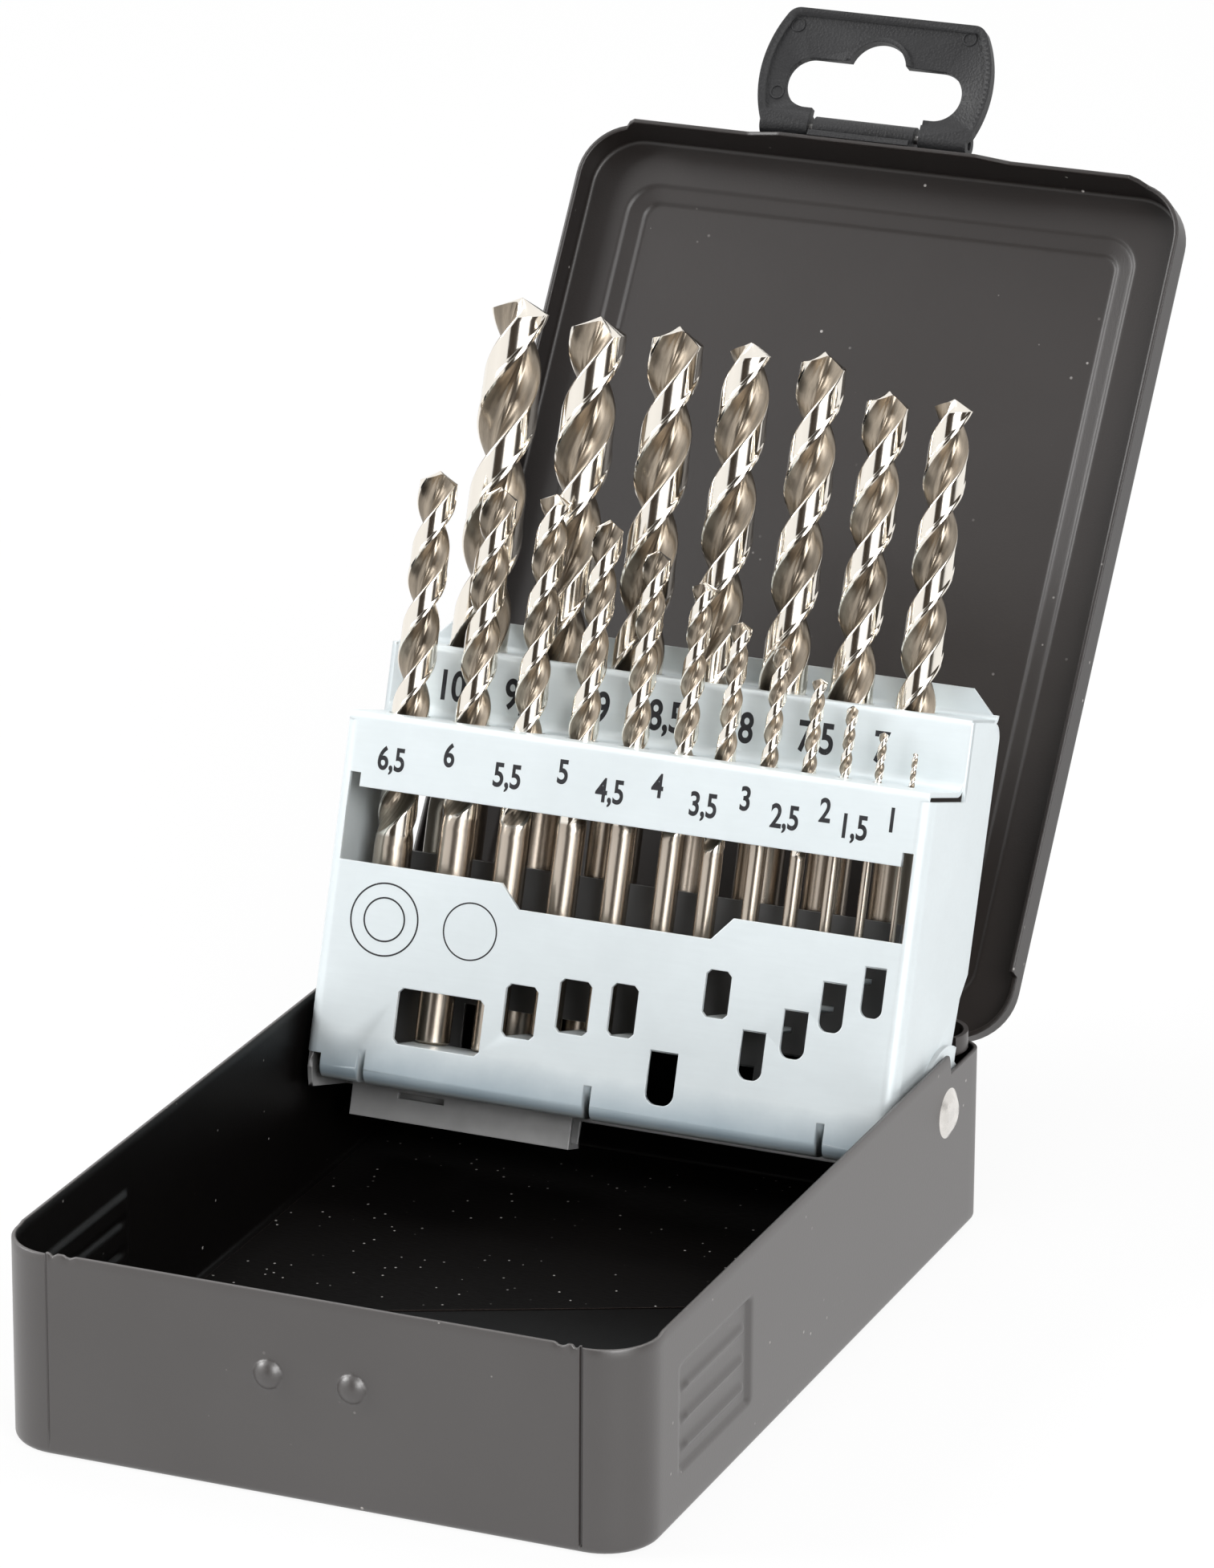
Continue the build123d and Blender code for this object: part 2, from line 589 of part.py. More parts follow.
    # Holes for the drills and for the pivot
    for row, depth, top in (
        (FRONT_ROW, FRONT_ROW_DEPTH, 0),
        (REAR_ROW, REAR_ROW_DEPTH, LEDGE_STEP),
    ):
        with BuildSketch(rack_plan.offset(top)):
            for diameter, _, _, place, _ in row:
                with Locations((SPREAD * place, depth)):
                    RegularPolygon(diameter / 2 + HOLE_GAP, HOLE_SIDES, major_radius=False)
        extrude(amount=-SHEET, mode=Mode.SUBTRACT)
    with BuildSketch(rack_side):
        with Locations((PIVOT_DEPTH, -PIVOT_DROP)):
            Circle(RIVET_SHANK / 2 + PIVOT_HOLE_GAP)
    extrude(amount=RACK_WIDTH, both=True, mode=Mode.SUBTRACT)

# The carrier that holds the rear row's shanks inside the rack
# Its cheeks have a foot that reaches forward and an ear about the pivot
carrier_back = LEDGE_DEPTH + SHEET
carrier_top_half = CHEEK - CARRIER_TOP_INSET
bracket_left = SPREAD * BRACKET_LEFT
bracket_right = SPREAD * BRACKET_RIGHT
with BuildSketch() as carrier_cheek:
    box_sketch(FOOT_FRONT, PIVOT_DEPTH, CARRIER_BOTTOM, FOOT_TOP)
    with Locations((PIVOT_DEPTH, -PIVOT_DROP)):
        Circle(FOOT_SWING, mode=Mode.INTERSECT)
    box_sketch(LEDGE_DEPTH, PIVOT_DEPTH, -PIVOT_DROP, CARRIER_SHOULDER)
    with Locations((PIVOT_DEPTH, -PIVOT_DROP)):
        Circle(CARRIER_EAR)
        Circle(RIVET_SHANK / 2 + PIVOT_HOLE_GAP, mode=Mode.SUBTRACT)
with BuildPart() as shank_carrier:
    with BuildSketch(rack_face.offset(-LEDGE_DEPTH)):
        box_sketch(-INNER_CHEEK, INNER_CHEEK, CARRIER_BOTTOM, CARRIER_SHOULDER)
        box_sketch(-carrier_top_half, carrier_top_half, CARRIER_SHOULDER, CARRIER_TOP)
        box_sketch(bracket_left, bracket_right, BRACKET_BOTTOM, CARRIER_BOTTOM)
    extrude(amount=-SHEET)
    for side in (-1, 1):
        with BuildSketch(rack_side.offset(side * INNER_CHEEK)):
            add(carrier_cheek.sketch_local)
        extrude(amount=-side * SHEET)
    # Shelves for the rear row
    for (left, right, level, height), _ in REAR_SHELVES:
        if height:
            with BuildSketch(rack_face.offset(-LEDGE_DEPTH)):
                edge = level if height > 0 else level - SHELF_BEND_DROP
                box_sketch(SPREAD * left, SPREAD * right, min(edge, edge + height), max(edge, edge + height))
            extrude(amount=-SHEET, mode=Mode.SUBTRACT)
        with BuildSketch(rack_side.offset(SPREAD * left)):
            box_sketch(LEDGE_DEPTH + SHEET / 2, LEDGE_DEPTH + REAR_SHELF_REACH, level - SHEET, level)
        extrude(amount=SPREAD * (right - left))
    # Bracket that drops below the rack's sole and comes forward
    with BuildSketch(rack_side.offset(bracket_left)):
        box_sketch(BRACKET_DEPTH, carrier_back, BRACKET_BOTTOM, BRACKET_BOTTOM + SHEET)
        box_sketch(BRACKET_DEPTH, BRACKET_DEPTH + SHEET, BRACKET_BOTTOM, BRACKET_TOP)
    extrude(amount=bracket_right - bracket_left)
    slot_left, slot_right, slot_low, slot_high = BRACKET_SLOT
    with BuildSketch(rack_face.offset(-BRACKET_DEPTH)):
        box_sketch(SPREAD * slot_left, SPREAD * slot_right, slot_low, slot_high)
    extrude(amount=-SHEET, mode=Mode.SUBTRACT)

# One rivet at each pivot, turned from a single profile
tail_face = INNER_CHEEK - SHEET - RIVET_TAIL_GAP
rivet_plane = Plane(origin=pivot, x_dir=(1, 0, 0), z_dir=(0, -1, 0))
with BuildPart() as pivot_rivet_right:
    with BuildSketch(rivet_plane):
        with BuildLine():
            Polyline(
                (tail_face - RIVET_TAIL_THICK, 0),
                (tail_face - RIVET_TAIL_THICK, RIVET_TAIL / 2),
                (tail_face, RIVET_TAIL / 2),
                (tail_face, RIVET_SHANK / 2),
                (WALL, RIVET_SHANK / 2),
                (WALL, RIVET_HEAD / 2),
                (WALL + RIVET_HEAD_RISE, RIVET_HEAD_FLAT / 2),
                (WALL + RIVET_HEAD_RISE, 0),
                close=True,
            )
        make_face()
    revolve(axis=Axis(pivot, (1, 0, 0)))
with BuildPart() as pivot_rivet_left:
    mirror(pivot_rivet_right.part, about=Plane.YZ)

# The moulded hanging tab, built on the axis of its own barrel
tab_arm_start = MIDDLE_HALF + TAB_KNUCKLE_GAP
with BuildPart() as hang_tab:
    with BuildSketch(tab_plane.offset(TAB_BACK)) as tab_outline:
        with BuildLine():
            right_side = ThreePointArc(
                (BARREL_HALF, 0), (TAB_BELLY_HALF, TAB_BELLY), (TAB_TOP_HALF, TAB_LENGTH)
            )
            left_side = ThreePointArc(
                (-BARREL_HALF, 0), (-TAB_BELLY_HALF, TAB_BELLY), (-TAB_TOP_HALF, TAB_LENGTH)
            )
            Line(right_side @ 0, left_side @ 0)
            Line(right_side @ 1, left_side @ 1)
        make_face()
        fillet(tab_outline.vertices().group_by(Axis.Y)[-1], TAB_CORNER)
    extrude(amount=BARREL_RADIUS - TAB_BACK)
    # Face set back inside a raised rim
    with BuildSketch(tab_plane.offset(BARREL_RADIUS)):
        add(tab_outline.sketch_local)
        offset(amount=-TAB_RIM, kind=Kind.INTERSECTION, mode=Mode.REPLACE)
        box_sketch(-BARREL_HALF, BARREL_HALF, 0, BARREL_RADIUS, mode=Mode.SUBTRACT)
    extrude(amount=TAB_FACE - BARREL_RADIUS, mode=Mode.SUBTRACT)
    # Rim round the hump of the slot
    hump = SLOT_HUMP_TOP - SLOT_HUMP_HALF
    with BuildSketch(tab_plane.offset(TAB_BACK)):
        with Locations((0, hump)):
            Circle(SLOT_HUMP_HALF + SHEET)
        box_sketch(-TAB_BELLY_HALF, TAB_BELLY_HALF, 0, SLOT_HIGH, mode=Mode.SUBTRACT)
    extrude(amount=BARREL_RADIUS - TAB_BACK)
    # Knuckles
    for side in (-1, 1):
        with BuildSketch(tab_side.offset(side * tab_arm_start)):
            Circle(BARREL_RADIUS)
        extrude(amount=side * (BARREL_HALF - tab_arm_start))
    # Slot with its hump, open between the knuckles
    with BuildSketch(tab_plane):
        slot_end = (SLOT_HIGH - SLOT_LOW) / 2
        with Locations((0, (SLOT_LOW + SLOT_HIGH) / 2)):
            RectangleRounded(2 * SLOT_HALF, SLOT_HIGH - SLOT_LOW, slot_end * 0.99)
        with Locations((0, hump)):
            Circle(SLOT_HUMP_HALF)
        box_sketch(-tab_arm_start, tab_arm_start, -BARREL_RADIUS, SLOT_LOW + slot_end)
    extrude(amount=2 * BARREL_RADIUS, both=True, mode=Mode.SUBTRACT)
    with BuildSketch(tab_side):
        Circle(HANGER_PIN / 2 + PIN_CLEARANCE)
    extrude(amount=2 * BARREL_HALF, both=True, mode=Mode.SUBTRACT)

# The clip that carries the middle knuckle on the lid's front flange
with BuildPart() as hanger_clip:
    with BuildSketch(tab_side.offset(-MIDDLE_HALF)):
        flange_face = -BARREL_RADIUS - BARREL_STAND
        Circle(BARREL_RADIUS)
        box_sketch(flange_face, flange_face + CLIP_THICK, CLIP_LOW - BARREL_LEVEL, LIP_DEPTH - BARREL_LEVEL)
        box_sketch(flange_face, 0, -BARREL_RADIUS / 2, BARREL_RADIUS / 2)
        Circle(HANGER_PIN / 2, mode=Mode.SUBTRACT)
    extrude(amount=2 * MIDDLE_HALF)

with BuildPart() as hanger_pin:
    with BuildSketch(tab_side.offset(-BARREL_HALF + SHEET)):
        Circle(HANGER_PIN / 2)
    extrude(amount=2 * (BARREL_HALF - SHEET))

# Thin liner on the rear part of the floor, cut skew in front
with BuildPart() as floor_liner:
    with BuildSketch(Plane.XY.offset(SHEET)):
        with BuildLine():
            liner_half = WALL - SHEET - LINER_GAP
            liner_back = REAR - SHEET - LINER_GAP
            Polyline(
                (-liner_half, REAR - LINER_LONG),
                (liner_half, REAR - LINER_SHORT),
                (liner_half, liner_back),
                (-liner_half, liner_back),
                close=True,
            )
        make_face()
    extrude(amount=LINER_THICK)


def flute_ring(radius, turn, height, blend, point_drop):
    """The corners of the fluted section at one height, turned and blended to round."""
    ring = []
    for half in (0, 180):
        for angle, share in FLUTE_SECTION:
            reach = radius * (share + (CORE_SHARE - share) * blend)
            way = radians(angle + half + turn)
            ring.append(Vector(reach * cos(way), reach * sin(way), height - point_drop * reach))
    return ring


def fluted_body(radius, start, flute, length):
    """A closed solid with two helical flutes, from the shank's end to the drill's point."""
    lead = 2 * pi * radius / tan(radians(HELIX_ANGLE))
    point = radius / tan(radians(POINT_ANGLE / 2))
    runout = 2 * radius
    shoulder = length - point
    steps = round(360 * (shoulder - start) / lead / FLUTE_STEP)
    heights = [start] + [start + runout + (shoulder - start - runout) * i / steps for i in range(steps + 1)]
    rings = [
        flute_ring(radius, 360 * height / lead, height, 1.0 if height == start else 0.0, 0)
        for height in heights[:-1]
    ]
    rings.append(flute_ring(radius, 360 * shoulder / lead, length, 0.0, point / radius))
    faces = []
    count = len(rings[0])
    for lower, upper in zip(rings, rings[1:]):
        for i in range(count):
            k = (i + 1) % count
            faces.append(Face(Wire.make_polygon([lower[i], lower[k], upper[k]])))
            faces.append(Face(Wire.make_polygon([lower[i], upper[k], upper[i]])))
    tip = Vector(0, 0, length)
    for i in range(count):
        faces.append(Face(Wire.make_polygon([rings[-1][i], rings[-1][(i + 1) % count], tip])))
    faces.append(Face(Wire.make_polygon(list(reversed(rings[0])))))
    return Solid(Shell(faces))


def twist_drill(name, diameter, length, flute, place, depth, bottom):
    """One drill standing in the rack with its point up."""
    foot = rack_plan.from_local_coords((place, depth, bottom))
    drill_plane = Plane(origin=foot, x_dir=(1, 0, 0), z_dir=rack_up)
    shank = length - flute
    with BuildPart() as drill:
        with BuildSketch(drill_plane):
            RegularPolygon(diameter / 2, SHANK_SIDES)
        extrude(amount=shank)
        body = fluted_body(diameter / 2, shank - FLUTE_ROOT, flute, length)
        add(drill_plane.location * body)
    drill.part.label = name
    export_step(drill.part, f"parts/{name}.step")
    return drill.part


for name, piece in (
    ("base_tray", base_tray),
    ("lid", lid),
    ("lid_hinge_pin", lid_hinge_pin),
    ("drill_rack", drill_rack),
    ("shank_carrier", shank_carrier),
    ("pivot_rivet_left", pivot_rivet_left),
    ("pivot_rivet_right", pivot_rivet_right),
    ("hang_tab", hang_tab),
    ("hanger_clip", hanger_clip),
    ("hanger_pin", hanger_pin),
    ("floor_liner", floor_liner),
):
    piece.part.label = name
    export_step(piece.part, f"parts/{name}.step")

for row, depth in ((FRONT_ROW, FRONT_ROW_DEPTH), (REAR_ROW, REAR_ROW_DEPTH)):
    for diameter, length, flute, place, level in row:
        name = "drill_" + f"{diameter:.1f}".replace(".", "_")
        twist_drill(name, diameter, length, flute, SPREAD * place, depth, level + STAND_GAP)
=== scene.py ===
from math import cos, pi, radians, sin, tan

import bmesh
import bpy
import numpy as np
from bpy.props import FloatProperty, FloatVectorProperty, PointerProperty
from mathutils import Matrix, Vector


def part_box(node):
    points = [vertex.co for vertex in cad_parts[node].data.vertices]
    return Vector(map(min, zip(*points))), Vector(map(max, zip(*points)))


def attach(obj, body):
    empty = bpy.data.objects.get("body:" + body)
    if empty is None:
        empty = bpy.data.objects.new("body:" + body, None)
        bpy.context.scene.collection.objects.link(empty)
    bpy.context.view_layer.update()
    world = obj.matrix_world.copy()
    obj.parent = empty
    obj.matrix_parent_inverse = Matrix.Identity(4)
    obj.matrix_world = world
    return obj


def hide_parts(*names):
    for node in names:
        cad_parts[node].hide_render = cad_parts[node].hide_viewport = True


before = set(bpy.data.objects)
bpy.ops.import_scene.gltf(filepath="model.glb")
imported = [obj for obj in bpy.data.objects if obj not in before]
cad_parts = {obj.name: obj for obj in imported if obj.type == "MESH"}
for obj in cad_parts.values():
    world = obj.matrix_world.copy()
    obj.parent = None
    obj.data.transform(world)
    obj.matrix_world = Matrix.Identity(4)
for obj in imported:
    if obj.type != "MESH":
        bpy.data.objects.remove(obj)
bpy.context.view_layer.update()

bl_info = {
    "name": "Drill bit case",
    "version": (1, 0, 0),
    "blender": (4, 5, 0),
    "location": "3D View > Sidebar > Drill case",
    "description": "Pressed sheets, twist drills, printed sizes, finishes and studio of a drill bit case",
    "category": "Object",
}

MM = 0.001
TAU = 2 * pi
RIGHT = Vector((1, 0, 0))

# The rack's own plane: X across, Y up along the plate, Z out of its face
RACK_LEAN = radians(18.1)
PIVOT = Vector((0, 57.6, 24.0)) * MM
RACK_UP = Vector((0, sin(RACK_LEAN), cos(RACK_LEAN)))
RACK_OUT = Vector((0, -cos(RACK_LEAN), sin(RACK_LEAN)))
RACK_ORIGIN = PIVOT + RACK_UP * 52.4 * MM + RACK_OUT * 21.8 * MM
RISER_DEPTH = 16 * MM

# The lid's plane, from the hinge or from the hanging tab's barrel: Y along the lid, Z inwards
LID_TILT = radians(124.6)
LID_FORWARD = Vector((0, -cos(LID_TILT), sin(LID_TILT)))
LID_INWARD = Vector((0, -sin(LID_TILT), -cos(LID_TILT)))
HINGE = Vector((0, 76.6, 28.7)) * MM
BARREL = Vector((-3.5, 162.765, 156.773)) * MM

# Tray in millimetres: X across, Y to the back, Z up
SHEET = 0.8
TRAY_HALF = 53.8
TRAY_END = 74.0
TRAY_HIGH = 34.0
TRAY_FOLD = 1.3
WALL_TOP = 27
FRONT_FACE = -73
SIDE_FACE = 53
NOTCH_DEPTH = 3.4
SIDE_NOTCH = (58.0, 58.3)
REAR_NOTCH = (46.8, 47.1)
CURL_RADIUS = 5.3
CURL_PLACE = (47.0, 68.3)
SEAM_PLACE = 44.5
BUMP_PLACES = (-7.0, 7.0)
BUMP_LEVEL = 20.4
BUMP_RADIUS = 2.4
BUMP_RISE = 1.5
GRIP_ENDS = (-57.5, -28.6)
GRIP_LEVELS = (7.9, 26.0)
GRIP_RIBS = (11.5, 16.2, 21.4)
GRIP_DEPTH = 0.6
# Nicks in the front rim: place across, depth and half width
RIM_NICKS = ((-40.6, 0.35, 0.7), (-43.4, 0.5, 0.4), (41.2, 0.45, 0.8), (43.6, 0.5, 0.4))

# Lid in millimetres, in its own plane from the hinge
LID_HALF = 55.1
LID_REAR = 0.95
LID_FRONT = 151.95
LID_CORNER = 9.7
LID_SKIN = -6.5
LID_FOLD = 1.5
LID_MIDDLE = 76.4
FLANGE = 5.9
BORDER_INSET = 8.1
BORDER_WIDTH = 4
LEAF_ENDS = (15.53, 45.8)

# Jobber drills: overall length and flute length in millimetres by diameter
DRILL_LENGTHS = {
    1.0: (34, 12), 1.5: (40, 18), 2.0: (49, 24), 2.5: (57, 30), 3.0: (61, 33),
    3.5: (70, 39), 4.0: (75, 43), 4.5: (80, 47), 5.0: (86, 52), 5.5: (93, 57),
    6.0: (93, 57), 6.5: (101, 63), 7.0: (109, 69), 7.5: (109, 69), 8.0: (117, 75),
    8.5: (117, 75), 9.0: (125, 81), 9.5: (125, 81), 10.0: (133, 87),
}
# Direction of each drill's cutting lip at its tip, in degrees from the case's right
DRILL_TURNS = {
    1.0: 20, 1.5: 70, 2.0: 120, 2.5: 45, 3.0: 95, 3.5: 59, 4.0: 40, 4.5: 90, 5.0: 104, 5.5: 30,
    6.0: 104, 6.5: 91, 7.0: 15, 7.5: 98, 8.0: 95, 8.5: 5, 9.0: 91, 9.5: 66, 10.0: 28,
}
# Half of a drill's section from one cutting edge to the next: angle and share of the radius
SECTION_ANGLES = (0, 3, 9, 20, 38, 58, 78, 94, 103, 108, 112, 140, 166, 169, 172, 180)
SECTION_SHARES = (1, 0.93, 0.72, 0.47, 0.32, 0.28, 0.38, 0.62, 0.84, 0.93, 0.955, 0.96, 0.965, 0.98, 1, 1)

# Sizes printed on the rack: text, place across and height of its middle
FRONT_SIZES = (
    ("6,5", -42.7, -7.1), ("6", -32.5, -5.1), ("5,5", -21.9, -7.1), ("5", -12.2, -5.1),
    ("4,5", -3.7, -7.1), ("4", 4.5, -5.1), ("3,5", 12.8, -7.1), ("3", 19.9, -5.1),
    ("2,5", 27.0, -7.1), ("2", 33.8, -5.1), ("1,5", 39.2, -7.1), ("1", 45.3, -5.1),
)
RISER_SIZES = (
    ("10", -39.9, 5.6), ("9,5", -27.5, 5.6), ("9", -13.1, 5.6), ("8,5", -1.8, 5.6),
    ("8", 12.5, 5.6), ("7,5", 24.8, 5.6), ("7", 36.3, 5.6),
)


def colour(name, description, value):
    """A colour that the sidebar shows."""
    return FloatVectorProperty(
        name=name, description=description, subtype="COLOR", size=3, min=0, max=1, default=value
    )


def length(name, description, value):
    """A length that the sidebar shows, in metres."""
    return FloatProperty(name=name, description=description, unit="LENGTH", precision=5, default=value)


class CaseColours(bpy.types.PropertyGroup):
    enamel: colour("Enamel", "Satin enamel of the tray and lid", (0.0180, 0.0138, 0.0124))
    dust: colour("Dust", "Pale specks of dust on the enamel", (0.50, 0.48, 0.46))
    rack: colour("Rack", "Cool grey coating of the rack", (0.73, 0.79, 0.81))
    carrier: colour("Carrier", "Dark grey coating of the shank carrier", (0.50, 0.50, 0.50))
    rivet: colour("Rivets", "Nickel of the pivot rivets", (0.86, 0.83, 0.79))
    wire: colour("Pins", "Drawn wire of the hinge pins", (0.50, 0.49, 0.48))
    plastic: colour("Tab", "Moulded plastic of the hanging tab", (0.012, 0.012, 0.013))
    steel: colour("Drills", "Polished steel of the lands and points", (0.90, 0.85, 0.77))
    # The shank colour is darker than the steel as painted shade, standing for the shade the shanks sit in
    # inside the rack.
    shank: colour("Shanks", "Turned shanks of the drills", (0.52, 0.455, 0.385))
    tarnish: colour("Tarnish", "Warm tint in the drills' flutes", (0.20, 0.17, 0.135))
    ink: colour("Ink", "Printed numerals", (0.010, 0.010, 0.012))


class CaseSizes(bpy.types.PropertyGroup):
    digit: length("Front digits", "Height of the numerals on the front plate", 3.9 * MM)
    riser_digit: length("Riser digits", "Height of the numerals on the riser", 5.0 * MM)
    print_depth: length("Print", "Thickness of the printed ink", 0.02 * MM)
    edge: length("Edge radius", "Radius of the sheet's broken edges", 0.25 * MM)
    helix: FloatProperty(
        name="Helix", description="Angle of the flutes to the drill's axis", subtype="ANGLE",
        default=radians(38),
    )
    point: FloatProperty(
        name="Point", description="Whole angle of the drill's point", subtype="ANGLE",
        default=radians(130),
    )


def scaled(value, share):
    """A darker or lighter colour, no brighter than white."""
    return [min(c * share, 1) for c in value]


def placed(spot, up, out):
    """Matrix that lays a drawing in millimetres at a place, its Y along up and its Z along out."""
    axes = Matrix((RIGHT, up, out)).transposed()
    return Matrix.Translation(spot) @ axes.to_4x4() @ Matrix.Scale(MM, 4)


class Signal:
    """A shader socket that takes part in Python arithmetic; each operator adds a Math node."""

    def __init__(self, finish, socket):
        self.finish = finish
        self.socket = socket

    def math(self, operation, *values):
        return self.finish.node("ShaderNodeMath", {"operation": operation}, values)

    def __add__(self, other):
        return self.math("ADD", self, other)

    def __sub__(self, other):
        return self.math("SUBTRACT", self, other)

    def __rsub__(self, other):
        return self.math("SUBTRACT", other, self)

    def __mul__(self, other):
        return self.math("MULTIPLY", self, other)

    def __truediv__(self, other):
        return self.math("DIVIDE", self, other)

    __radd__ = __add__
    __rmul__ = __mul__

    def ramp(self, low, high, to_low=0.0, to_high=1.0):
        """Maps low..high to another range and holds it there."""
        return self.finish.node("ShaderNodeMapRange", {"clamp": True}, (self, low, high, to_low, to_high))


class Finish:
    """One procedural material on a Principled shader."""

    def __init__(self, name, **constants):
        self.material = bpy.data.materials.new(name)
        self.material.use_nodes = True
        self.tree = self.material.node_tree
        self.shader = self.tree.nodes["Principled BSDF"]
        for socket, value in constants.items():
            self.set(socket.replace("_", " ").title().replace("Ior", "IOR"), value)

    def join(self, value, socket):
        """Links a signal to a socket, or sets the socket to a plain value."""
        if isinstance(value, Signal):
            self.tree.links.new(value.socket, socket)
        elif value is not None:
            socket.default_value = value

    def set(self, socket, value):
        if not isinstance(value, (Signal, int, float)) and len(value) == 3:
            value = (*value, 1)
        self.join(value, self.shader.inputs[socket])

    def node(self, kind, settings=None, sockets=(), output=0):
        """Adds a node: its settings first, then its sockets by place or by name."""
        node = self.tree.nodes.new(kind)
        for setting, value in (settings or {}).items():
            setattr(node, setting, value)
        named = sockets.items() if isinstance(sockets, dict) else enumerate(sockets)
        for key, value in named:
            self.join(value, node.inputs[key])
        return Signal(self, node.outputs[output])

    def place(self, scale=(1, 1, 1), turn=(0, 0, 0), uv=False):
        """Coordinates of the object in metres, or its own UV map, turned and scaled."""
        source = self.node("ShaderNodeTexCoord", output="UV" if uv else "Object")
        return self.node("ShaderNodeMapping", None, {"Vector": source, "Rotation": turn, "Scale": scale})

    def along(self, axis, origin):
        """Distance in millimetres from an origin along an axis."""
        where = self.node("ShaderNodeTexCoord", output="Object")
        reach = self.node("ShaderNodeVectorMath", {"operation": "DOT_PRODUCT"}, (where, axis), output="Value")
        return (reach - origin.dot(axis)) / MM

    def noise(self, where, scale, detail=2.0, roughness=0.5):
        """Noise from 0 to 1."""
        sockets = {"Vector": where, "Scale": scale, "Detail": detail, "Roughness": roughness}
        return self.node("ShaderNodeTexNoise", None, sockets)

    def cells(self, where, scale):
        """Distance from the nearest of many scattered points."""
        return self.node("ShaderNodeTexVoronoi", {"feature": "F1"}, {"Vector": where, "Scale": scale})

    def blend(self, share, low, high):
        """Mixes two colours."""
        pair = [value if isinstance(value, Signal) else (*value, 1) for value in (low, high)]
        node = self.tree.nodes.new("ShaderNodeMix")
        node.data_type = "RGBA"
        for value, socket in zip((share, *pair), (node.inputs[0], node.inputs[6], node.inputs[7])):
            self.join(value, socket)
        return Signal(self, node.outputs[2])

    def mottled(self, signal, value, low, high):
        """A colour that wanders between two shares of itself."""
        return self.blend(signal.ramp(0.3, 0.7), scaled(value, low), scaled(value, high))

    def edges(self, radius):
        """Rounded normal, and a mask that is 1 on sharp edges."""
        soft = self.node("ShaderNodeBevel", {"samples": 4}, (radius,))
        flat = self.node("ShaderNodeNewGeometry", output="Normal")
        along = self.node("ShaderNodeVectorMath", {"operation": "DOT_PRODUCT"}, (soft, flat), output="Value")
        return soft, (1 - along).ramp(0.02, 0.25)

    def bump(self, height, distance, strength=1.0, normal=None):
        sockets = {"Strength": strength, "Distance": distance, "Height": height, "Normal": normal}
        self.set_normal(self.node("ShaderNodeBump", None, sockets))

    def shader_normal(self):
        """The signal that already feeds the shader's normal."""
        return Signal(self, self.shader.inputs["Normal"].links[0].from_socket)

    def set_normal(self, signal):
        self.tree.links.new(signal.socket, self.shader.inputs["Normal"])

    def attribute(self, name):
        """A number stored on the mesh's points."""
        return self.node("ShaderNodeAttribute", {"attribute_name": name}, output="Fac")

    def whiten(self, share):
        """Mixes the surface towards plain glowing white by a share."""
        glow = self.node("ShaderNodeEmission", None, {"Color": (1, 1, 1, 1), "Strength": 1.0})
        lit = Signal(self, self.shader.outputs[0])
        mixed = self.node("ShaderNodeMixShader", None, (share, lit, glow))
        self.join(mixed, self.tree.nodes["Material Output"].inputs["Surface"])


def enamel_finish(colours, sizes):
    """Satin enamel on steel: fine orange peel, a cloudy coat, dust and paler edges.
    The stored attribute is the share of clear lacquer over the black body; where it is low, inside the tray,
    the colour is also darkened to a tenth as painted shade."""
    finish = Finish(
        "case_enamel", metallic=0.0, specular_ior_level=0.12,
        coat_ior=1.95, coat_roughness=0.42, coat_tint=(1.0, 0.97, 0.96),
    )
    where = finish.place()
    cloud = finish.noise(where, 28, 4)
    grain = finish.noise(where, 2600, 2, 0.6)
    soft, edge = finish.edges(sizes.edge)
    speck = finish.cells(where, 240)
    patch = finish.noise(where, 55, 2).ramp(0.52, 0.62)
    dust = speck.ramp(0.045, 0.075, 1, 0) * patch
    gloss_and_shade = finish.attribute("gloss_and_shade")
    # Painted shade: where little lacquer is stored, inside the tray, the colour drops to a tenth of the
    # enamel.
    body = finish.blend(gloss_and_shade.ramp(0.1, 0.5), scaled(colours.enamel, 0.10), colours.enamel)
    body = finish.blend(edge * 0.35, body, scaled(colours.enamel, 3.0))
    finish.set("Base Color", finish.blend(dust * 0.75, body, colours.dust))
    finish.set("Roughness", cloud.ramp(0.3, 0.7, 0.40, 0.46))
    finish.set("Coat Weight", gloss_and_shade * cloud.ramp(0.3, 0.7, 0.92, 1.0))
    finish.bump(grain + dust * 2, 0.022 * MM, 0.7, soft)
    finish.join(finish.shader_normal(), finish.shader.inputs["Coat Normal"])
    return finish.material


def rack_finish(colours, sizes):
    """Cool grey coating with a faint rolled grain, soft mottling, painted highlights on its folds and edges,
    and a bluish painted shade at its foot.
    """
    finish = Finish("rack_zinc", metallic=0.25, specular_ior_level=0.5)
    where = finish.place()
    grain = finish.noise(finish.place((140, 1500, 1500)), 1.0, 3, 0.6)
    mottle = finish.noise(where, 60, 5, 0.65)
    soft, edge = finish.edges(sizes.edge)
    tone = finish.mottled(mottle, colours.rack, 0.96, 1.03)
    tone = finish.blend(grain.ramp(0.3, 0.7) * 0.25, tone, scaled(colours.rack, 0.92))
    # Painted shade: towards its foot the front plate darkens to a bluish grey, standing for the dark tray
    # reflected in its bend.
    up = finish.along(RACK_UP, RACK_ORIGIN) + mottle * 4
    plate = finish.along(RACK_OUT, RACK_ORIGIN).ramp(-1.3, -0.4)
    shade = [c * share for c, share in zip(colours.rack, (0.30, 0.40, 0.48))]
    tone = finish.blend(up.ramp(-60, -51, 0.9, 0) * plate, tone, shade)
    # Painted highlight: sharp edges, such as the window rims, are whitened.
    finish.set("Base Color", finish.blend(edge * 0.9, tone, (0.92, 0.94, 0.95)))
    finish.set("Roughness", mottle.ramp(0.3, 0.7, 0.36, 0.44))
    finish.bump(grain + mottle, 0.006 * MM, 0.5, soft)
    return finish.material


